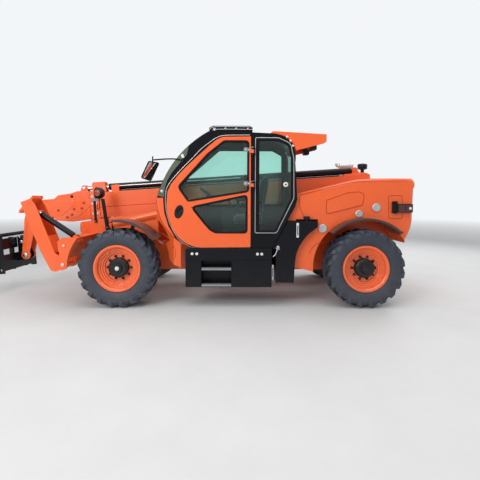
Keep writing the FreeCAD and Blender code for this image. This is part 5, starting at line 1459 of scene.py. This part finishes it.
@dataclass
class Mirrors:
    """Rear-view mirrors: the left one on the cab pillar and the right one on the hood."""

    depth: float = 0.034
    rim: float = 0.012

    def head(self, corners: Sequence[Vector], housing: Shape, glass: Shape) -> None:
        """One mirror head.

        Args:
            corners: the four corners of its face, seen from the glass side, in order.
            housing: what the shell is added to.
            glass: what the glass is added to.
        """
        origin = sum(corners, Vector()) / 4
        across = (corners[1] - corners[0]).normalized()
        normal = across.cross(corners[3] - corners[0]).normalized()
        up = normal.cross(across)
        flat = rounded([((c - origin).dot(across), (c - origin).dot(up), 0.028) for c in corners], 5)

        def ring(grow: float, deep: float) -> list[Vector]:
            return [origin + across * a + up * b + normal * deep for a, b in moved(flat, grow)]
        housing.loft([ring(-0.030, -self.depth), ring(-0.010, -self.depth * 0.8), ring(0.0, -0.010), ring(0.0, 0.002),
                      ring(-0.004, 0.005), ring(-self.rim, 0.005), ring(-self.rim, 0.001)])
        glass.loft([ring(-self.rim - 0.001, 0.0008), ring(-self.rim - 0.001, 0.0028)])

    def build(self) -> None:
        """Makes both mirrors, their arms and feet."""
        housing, glass, arms = Shape(), Shape(), Shape()

        def face(x: float, z: float) -> Vector:
            return at(x, 1.050 + (x - 1.349) * 1.06 + (z - 2.006) * 0.75, z)
        self.head([face(1.220, 2.129), face(1.342, 2.141), face(1.472, 1.897), face(1.363, 1.859)], housing, glass)
        arm = [at(0.872, 1.072, 2.160), at(0.960, 1.078, 2.176), at(1.073, 1.084, 2.178), at(1.210, 1.094, 2.168), at(1.300, 1.096, 2.160)]
        arms.tube(smooth_path(arm, 5), 0.0105, 12)
        arms.tube([at(1.300, 1.096, 2.214), at(1.304, 1.092, 2.130), at(1.322, 1.056, 2.060)], 0.009, 12)
        arms.prism(side(rounded([(0.845, 2.118, 0.01), (0.892, 2.118, 0.01), (0.892, 2.186, 0.01), (0.845, 2.186, 0.01)])), 1.0553, 1.066)
        arms.disc_stack(at(0.868, 1.066, 2.154), LEFT, [(0, 0.020), (0.014, 0.020), (0.017, 0.014)], 24)
        self.head([at(0.812, -1.164, 2.045), at(0.812, -1.066, 2.045), at(0.762, -1.066, 1.800), at(0.762, -1.164, 1.800)], housing, glass)
        post = [at(0.742, -1.078, 1.290), at(0.748, -1.088, 1.500), at(0.775, -1.112, 1.760), at(0.800, -1.114, 1.900)]
        arms.tube(smooth_path(post, 5), 0.0105, 12)
        arms.prism(side(rounded([(0.700, 1.250, 0.01), (0.786, 1.250, 0.01), (0.786, 1.345, 0.01), (0.700, 1.345, 0.01)])), -1.0605, -1.072)
        shown = housing.piece("mirror_housings", PLASTIC)
        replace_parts(shown, "mirrors")
        glass.piece("mirror_glasses", MIRROR)
        arms.piece("mirror_arms", BLACK)


@dataclass
class RearBody:
    """Caps, pressed lines and exhaust of the rear body."""

    face: float = 0.985
    cap_face: float = 0.997

    def caps(self) -> None:
        """Bright round caps on the left pod with their tabs, and a black disc as the painted shade of the tail hole."""
        caps, tabs = Shape(), Shape()
        for x, z, radius in ((-2.014, 1.479, 0.058), (-1.754, 1.384, 0.050), (-1.212, 1.163, 0.060)):
            place = at(x, self.cap_face - 0.013, z)
            caps.disc_stack(place, LEFT, [(0, radius + 0.004), (0.014, radius + 0.004), (0.018, radius), (0.020, radius - 0.010),
                                          (0.017, radius - 0.016), (0.018, radius * 0.4)], 48)
            tabs.prism(side(rounded([(x + radius - 0.004, z - 0.012, 0.004), (x + radius + 0.020, z - 0.010, 0.006),
                                     (x + radius + 0.020, z + 0.016, 0.006), (x + radius - 0.004, z + 0.016, 0.004)])),
                       self.face + 0.001, self.face + 0.012, 0.002)
        caps.piece("pod_caps", SILVER)
        tabs.piece("pod_cap_tabs", ORANGE)
        # The tail hole is a flat black disc on the face: painted shade of the hole.
        hole = Shape().disc_stack(at(-2.422, self.face - 0.0006, 1.109), LEFT, [(0, 0.011), (0.0014, 0.011), (0.0018, 0.008)], 20)
        hole.piece("tail_hole_shade", SEAL)

    def pressings(self) -> None:
        """Pressed lines round the panel, the lamp recess and the wheel arch."""
        lines = Shape()
        panel = [(-1.258, 1.590), (-1.570, 1.700), (-1.750, 1.718), (-1.822, 1.690), (-1.826, 1.650), (-1.805, 1.515), (-1.258, 1.375)]
        recess = [(-2.190, 1.664), (-2.405, 1.664), (-2.412, 1.310), (-2.198, 1.310)]
        for corners, y in ((panel, self.face + 0.0070), (recess, self.face)):
            ring = moved(rounded(side([(*corner, 0.04) for corner in corners]), 6), -0.004)
            lines.tube([Vector((x, y, z)) for x, z in ring], 0.0045, 6, closed=True)
        front = [(-0.862, 1.662), (-0.862, 1.500), (-0.925, 1.340)]
        crease = [(-0.862, 1.662), (-1.200, 1.752), (-1.560, 1.838), (-1.760, 1.868), (-2.050, 1.880), (-2.480, 1.880)]
        arch = arc((-1.019, 0.790), (-1.085, 0.900), (-1.262, 0.948), 12)
        for points in (front, crease, arch):
            path = smooth_path([at(x, self.face - 0.0005, z) for x, z in points], 5)
            lines.tube(path, 0.0045, 6)
        # The pressed lines are darker orange: painted shade of the pressed grooves.
        lines.piece("body_pressings", SHADED_SEAM)

    def exhaust(self) -> None:
        """Silencer with its stack and clamps, and the air intake with its bowl."""
        pipe = Shape()
        y, z = -0.720, 2.270
        pipe.lathe([(-0.145, 0.0), (-0.145, 0.046), (-0.138, 0.058), (-0.125, 0.062), (0.110, 0.062), (0.122, 0.058),
                    (0.130, 0.046), (0.130, 0.0)], at(-2.090, y, z), AHEAD, 48)
        for x in (-2.190, -2.000):
            pipe.lathe([(-0.008, 0.060), (-0.008, 0.0645), (0.008, 0.0645), (0.008, 0.060)], at(x, y, z), AHEAD, 48)
        pipe.lathe([(0.0, 0.044), (0.012, 0.044), (0.014, 0.036), (0.340, 0.036)], at(-2.080, y, 1.9185), UP, 32)
        tip = [at(-1.965, y, 2.270), at(-1.935, y, 2.272), at(-1.912, y, 2.290), at(-1.905, y, 2.325)]
        pipe.tube(smooth_path(tip, 6), 0.026, 24)
        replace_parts(pipe.piece("exhaust_silencer", SILVER), "exhaust")
        intake = Shape()
        intake.lathe([(0.0, 0.046), (0.010, 0.046), (0.012, 0.035), (0.285, 0.035), (0.290, 0.060), (0.300, 0.090),
                      (0.318, 0.094), (0.320, 0.084), (0.326, 0.084), (0.330, 0.094), (0.385, 0.094), (0.400, 0.080),
                      (0.408, 0.030), (0.409, 0.0)], at(-2.430, y, 1.9185), UP, 48)
        intake.piece("air_intake", PLASTIC)

    def build(self) -> None:
        """Makes the details of the rear body."""
        self.caps()
        self.pressings()
        self.exhaust()


@dataclass
class Flanks:
    """Step treads, tank fittings, roof ribs, guard bolts, hood grille and stabiliser pins."""

    step_face: float = 1.104
    flange_face: float = 1.108
    tank_face: float = 1.080

    def steps(self) -> None:
        """Toothed treads, panels and bolts of the step box."""
        treads, panels, bolts = Shape(), Shape(), Shape()
        for base, top in ((0.5405, 0.590), (0.3005, 0.3475)):
            treads.prism(side([(0.158, base + 0.012), (0.592, base + 0.012), (0.592, top - 0.012), (0.158, top - 0.012)]), 1.050, self.step_face)
            for index in range(22):
                x = 0.160 + index * 0.0197
                treads.prism(side([(x, top - 0.012), (x + 0.0165, top - 0.012), (x + 0.0125, top), (x + 0.004, top)]), 1.050, self.step_face)
        treads.piece("step_treads", GREY_PAINT)
        for outline in ([(-0.425, 0.318), (0.136, 0.318), (0.136, 0.690), (-0.425, 0.690)],
                        [(0.612, 0.318), (0.815, 0.318), (0.815, 0.690), (0.612, 0.690)]):
            panels.prism(side(rounded([(*corner, 0.02) for corner in outline])), 1.0995, 1.106, 0.003)
        panels.prism(side(rounded([(-0.437, 0.856, 0.006), (0.827, 0.856, 0.006), (0.822, 0.8695, 0.006), (-0.437, 0.8695, 0.006)])), 1.090, 1.111, 0.003)
        panels.piece("step_box_panels", BLACK)
        for x, z in ((0.730, 0.795), (0.661, 0.795), (-0.228, 0.792), (-0.291, 0.792)):
            bolts.disc_stack(at(x, self.flange_face, z), LEFT, [(0, 0.021), (0.004, 0.021), (0.008, 0.015), (0.010, 0.006)], 24)
        bolts.piece("step_box_buttons", WHITE)

    def tank(self) -> None:
        """Filler cap, level strip, drain lever and sight gauge."""
        cap = Shape()
        cap.disc_stack(at(-0.960, 1.034, 1.300), UP, [(0, 0.034), (0.012, 0.034), (0.014, 0.046), (0.040, 0.050), (0.046, 0.044),
                                                      (0.048, 0.020)], 24)
        cap.piece("tank_filler_cap", PLASTIC)
        gusset = Shape()
        gusset.prism(side([(-0.4515, 0.8675), (-0.680, 1.2770), (-0.7375, 1.2770), (-0.5025, 0.8605)]), 0.930, self.tank_face - 0.002)
        gusset.piece("tank_front_gusset", BLACK)
        panel = Shape()
        panel.prism(side([(-0.6840, 1.2815), (-0.7930, 1.4860), (-0.8090, 1.5600), (-0.8090, 1.2815)]), 0.900, 0.9845)
        panel.piece("body_front_corner", ORANGE)
        strip, slot = Shape(), Shape()
        strip.prism(side(rounded([(-0.836, 1.034, 0.008), (-0.802, 1.034, 0.008), (-0.802, 1.250, 0.008), (-0.836, 1.250, 0.008)])),
                    self.tank_face - 0.001, self.tank_face + 0.008, 0.003)
        slot.prism(side(rounded([(-0.826, 1.068, 0.006), (-0.812, 1.068, 0.006), (-0.812, 1.216, 0.006), (-0.826, 1.216, 0.006)])),
                   self.tank_face + 0.007, self.tank_face + 0.0095)
        strip.piece("tank_level_strip", WHITE)
        slot.piece("tank_level_glass", PLASTIC)
        lever = Shape()
        lever.disc_stack(at(-0.533, self.tank_face, 0.893), LEFT, [(0, 0.020), (0.010, 0.020), (0.014, 0.015)], 24)
        lever.bolt(at(-0.533, self.tank_face + 0.013, 0.893), LEFT, 0.016, 0.008)
        grip = [at(-0.524, 1.092, 0.868), at(-0.506, 1.094, 0.820), at(-0.490, 1.093, 0.782), at(-0.458, 1.090, 0.752)]
        lever.tube(smooth_path(grip, 6), 0.0075, 10)
        lever.tube([at(-0.500, 1.090, 0.880), at(-0.526, 1.092, 0.866), at(-0.556, 1.090, 0.862)], 0.008, 10)
        lever.piece("drain_lever", SILVER)
        gauge = Shape()
        gauge.prism(side([(-0.4700, 0.410), (-0.4405, 0.410), (-0.4405, 0.630), (-0.4700, 0.630)]), 1.058, 1.086)
        for z in (0.428, 0.612):
            gauge.disc_stack(at(-0.456, 1.086, z), LEFT, [(0, 0.013), (0.006, 0.013), (0.008, 0.009)], 20)
        gauge.piece("sight_gauge", SILVER, bevel=0.003)
        window = Shape().prism(side([(-0.461, 0.452), (-0.450, 0.452), (-0.450, 0.588), (-0.461, 0.588)]), 1.085, 1.088)
        window.piece("sight_gauge_window", PLASTIC)

    def roof(self) -> None:
        """Ribs along the roof cap with silver lines that paint their highlights, and the button heads on the roof
        guard.
        """
        ribs, trim = Shape(), Shape()
        for way, y in ((1, 1.026), (-1, 0.314)):
            for rise, nose in ((2.650, 0.486), (2.612, 0.470)):
                path = [at(nose, y, rise - 0.044), at(nose - 0.040, y, rise - 0.014), at(nose - 0.110, y, rise),
                        at(0.10, y, rise + 0.002), at(-0.148, y, rise)]
                ribs.tube(smooth_path(path, 5), 0.0125, 10)
                # Thin silver lines beside the black ribs: painted highlights standing for the ribs' reflections.
                trim.tube([p + Vector((0, way * 0.0095, 0.007)) for p in smooth_path(path, 5)], 0.0045, 8)
        ribs.piece("roof_cap_ribs", CAB_BLACK)
        trim.piece("roof_cap_glints", SILVER)
        bolts = Shape()
        for x, z in ((-0.655, 2.513), (-0.706, 2.457), (-0.742, 2.384)):
            bolts.disc_stack(at(x, 1.0548, z), LEFT, [(0, 0.016), (0.003, 0.016), (0.007, 0.011), (0.008, 0.004)], 20)
        bolts.piece("roof_guard_bolts", WHITE)

    def hood(self) -> None:
        """Mesh behind the slots of the engine hood, and its latches."""
        mesh = Shape()
        mesh.box(at(0.080, -1.0335, 0.885), at(0.700, -1.0315, 1.265))
        for index in range(18):
            z = 0.890 + index * 0.0215
            mesh.box(at(0.082, -1.0380, z), at(0.698, -1.0335, z + 0.006))
        mesh.piece("hood_mesh", BLACK)
        latches = Shape()
        for x in (-0.560, 0.020, 0.780):
            latches.prism(side(rounded([(x - 0.030, 0.720, 0.008), (x + 0.030, 0.720, 0.008), (x + 0.030, 0.800, 0.008),
                                        (x - 0.030, 0.800, 0.008)])), -1.0598, -1.068, 0.003)
        latches.piece("hood_latches", PLASTIC)

    def stabilisers(self) -> None:
        """Bright pin ends of the stabiliser brackets."""
        pins = Shape()
        for way in (1, -1):
            for x, z, radius in ((2.590, 0.640, 0.024), (2.570, 0.915, 0.018)):
                pins.disc_stack(at(x, way * 1.1695, z), (0, way, 0), [(0, radius), (0.0035, radius), (0.0048, radius * 0.7)], 28)
        pins.piece("stabiliser_pin_ends", SILVER)

    def build(self) -> None:
        """Makes these details."""
        self.steps()
        self.tank()
        self.roof()
        self.hood()
        self.stabilisers()


@dataclass
class Fairing:
    """Pressed line and button bolts of the front fairings."""

    def build(self) -> None:
        """Makes the details of both fairings."""
        lines, bolts = Shape(), Shape()
        for way in (1, -1):
            arch = arc((1.010, 0.905), (0.985, 0.800), (1.000, 0.700), 10)
            lines.tube([at(x, way * 1.0402, z) for x, z in arch], 0.004, 6)
            for x in (1.560, 1.900, 2.240):
                bolts.disc_stack(at(x, way * 0.4522, 1.215 if x > 1.6 else 1.330), (0, way, 0),
                                 [(0, 0.014), (0.003, 0.014), (0.006, 0.009)], 20)
        shoulders = Shape()
        crest = [(1.030, 1.440), (1.180, 1.438), (1.320, 1.410), (1.520, 1.366), (1.760, 1.313), (1.980, 1.266), (2.180, 1.223),
                 (2.270, 1.200)]
        section = [(0.425, 0.0), (0.452, 0.004), (0.474, -0.010), (0.486, -0.034), (0.485, -0.064), (0.474, -0.094),
                   (0.4530, -0.122), (0.425, -0.122)]
        for way in (1, -1):
            rings = []
            for index, (x, z) in enumerate(crest):
                swell = 0.0 if index in (0, len(crest) - 1) else 1.0
                rings.append([at(x, way * (0.4515 + (y - 0.4515) * (swell if y > 0.4515 else 1.0)), z + drop)
                              for y, drop in section])
            shoulders.loft(rings)
        shoulders.piece("fairing_shoulders", ORANGE)
        # The fairing's pressed line is darker orange: painted shade of the groove.
        lines.piece("fairing_pressings", SHADED_SEAM)
        bolts.piece("fairing_bolts", ZINC)


@dataclass
class Studio:
    """Camera at the photo's viewpoint, pale floor and soft lights."""

    focal: float = 25.065
    sensor: float = 36.0
    eye: Solid = (0.0734, 5.98, 1.57)
    pitch: float = -2.142
    yaw: float = -0.497
    roll: float = 0.218
    shift: float = -0.0552
    floor_tone: float = 0.62
    sky: tuple[float, float, float] = (0.90, 0.92, 0.94)

    def camera(self) -> None:
        """Places the camera. It looks to the right across the machine."""
        data = bpy.data.cameras.new("camera")
        data.sensor_width = self.sensor
        data.lens = self.focal
        data.shift_y = self.shift
        data.clip_end = 200
        camera = bpy.data.objects.new("camera", data)
        bpy.context.scene.collection.objects.link(camera)
        turn = Matrix.Rotation(math.radians(180 + self.yaw), 4, "Z")
        tip = Matrix.Rotation(math.radians(90 + self.pitch), 4, "X")
        lean = Matrix.Rotation(math.radians(self.roll), 4, "Z")
        camera.matrix_world = Matrix.Translation(at(*self.eye)) @ turn @ tip @ lean
        bpy.context.scene.camera = camera

    def floor(self) -> None:
        """A wide pale floor that fades into the backdrop far from the machine."""
        mesh = bpy.data.meshes.new("studio_floor")
        bm = bmesh.new()
        bmesh.ops.create_circle(bm, cap_ends=True, segments=96, radius=80)
        bm.to_mesh(mesh)
        bm.free()
        floor = bpy.data.objects.new("studio_floor", mesh)
        bpy.context.scene.collection.objects.link(floor)
        made = bpy.data.materials.new("studio floor")
        made.use_nodes = True
        made.node_tree.nodes.clear()
        tree = Tree(made.node_tree)
        place = tree.add("TexCoord").outputs["Object"]
        distance = tree.add("VectorMath", {0: place}, operation="LENGTH").outputs["Value"]
        far = tree.add("MapRange", {0: distance, 1: 9.0, 2: 30.0, 3: 0.0, 4: 1.0}).outputs[0]
        tone = use_group(tree, "mottle", {"Color": (self.floor_tone,) * 3 + (1.0,), "Amount": 0.05, "Scale": 1.2})
        near = tree.add("BsdfPrincipled", {"Base Color": tone.outputs["Color"], "Roughness": 0.75})
        sky = tree.add("Emission", {"Color": (*self.sky, 1.0), "Strength": 1.0})
        both = tree.add("MixShader", {0: far, 1: near.outputs[0], 2: sky.outputs[0]})
        tree.add("OutputMaterial", {"Surface": both.outputs[0]})
        mesh.materials.append(made)

    def lights(self) -> None:
        """A pale world and three large soft lamps."""
        world = bpy.data.worlds.new("studio")
        bpy.context.scene.world = world
        world.use_nodes = True
        world.node_tree.nodes.clear()
        tree = Tree(world.node_tree)
        path = tree.add("LightPath")
        seen = tree.math("MAXIMUM", path.outputs["Is Camera Ray"], path.outputs["Is Transmission Ray"])
        plain = tree.add("Background", {"Color": (*self.sky, 1.0), "Strength": 0.55})
        shown = tree.add("Background", {"Color": (*self.sky, 1.0), "Strength": 1.0})
        both = tree.add("MixShader", {0: seen, 1: plain.outputs[0], 2: shown.outputs[0]})
        tree.add("OutputWorld", {"Surface": both.outputs[0]})
        lamps = {"overhead": ((0.0, 1.0, 7.0), (0.0, 0.0, 0.8), 9.0, 420.0),
                 "key": ((5.5, 8.0, 5.0), (0.3, 0.0, 1.0), 4.0, 420.0),
                 "rim": ((-6.5, -5.0, 5.5), (0.0, 0.0, 1.0), 5.0, 260.0)}
        for name, (place, target, size, power) in lamps.items():
            data = bpy.data.lights.new(name, "AREA")
            data.size = size
            data.energy = power
            lamp = bpy.data.objects.new(name, data)
            bpy.context.scene.collection.objects.link(lamp)
            lamp.location = at(*place)
            lamp.rotation_euler = (at(*target) - at(*place)).to_track_quat("-Z", "Y").to_euler()

    def build(self) -> None:
        """Makes the camera, floor and lights."""
        self.camera()
        self.floor()
        self.lights()


PLAIN_NODES = {
    ORANGE: {"front_fairing": 0.008, "rear_body": 0.010, "engine_hood": 0.008, "roof_visor": 0.002, "door": 0.004},
    WORN_ORANGE: {"boom_outer": 0.004, "boom_mid": 0.003, "boom_collar": 0.004, "boom_inner": 0.003, "leg_left": 0.003,
                  "leg_right": 0.003, "chassis_frame": 0.003, "front_box": 0.004},
    CAB_BLACK: {"cab_shell": 0.010, "cab_roof": 0.008},
    BLACK: {"tow_hitch": 0.003, "step_box": 0.006, "fuel_tank": 0.010, "carrier": 0.003, "extend_barrel": 0.002, "lift_barrel": 0.003,
            "tilt_barrel": 0.002, "leg_barrel_left": 0.002, "leg_barrel_right": 0.002},
    HUB_BLACK: {"front_axle": 0.004, "rear_axle": 0.004, "knuckle_front_left": 0.003,
                "knuckle_front_right": 0.003, "knuckle_rear_left": 0.003, "knuckle_rear_right": 0.003},
    CHROME: {"extend_rod": 0.0, "lift_rod": 0.0, "tilt_rod": 0.0, "leg_rod_left": 0.0, "leg_rod_right": 0.0},
    FENDER: {"rear_fenders": 0.004, "front_fender_left": 0.003, "front_fender_right": 0.003},
    TRIM: {"controls": 0.006, "seat_base": 0.006, "seat_cushion": 0.0, "seat_back": 0.0},
    STEEL: {"engine": 0.01}, GLASS: {"cab_glass": 0.0, "door_glass": 0.0},
}


ASSEMBLIES = (Cab, CabInterior, Boom, Lamps, Mirrors, RearBody, Flanks, Fairing)


def main() -> None:
    """Builds every sub-assembly in order and reports each."""
    logging.basicConfig(level=logging.INFO, format="%(name)s: %(message)s")
    Studio().build()
    LOG.info("studio ready")
    for finish, nodes in PLAIN_NODES.items():
        for node, bevel in nodes.items():
            dress(node, finish, bevel)
    for end in ("front", "rear"):
        for hand in ("left", "right"):
            Wheel(end, hand).build()
            LOG.info("wheel %s %s ready", end, hand)
    for assembly in ASSEMBLIES:
        assembly().build()
        LOG.info("%s ready", assembly.__name__)
    bpy.context.scene.view_settings.view_transform = "Standard"


if __name__ == "__main__":
    main()
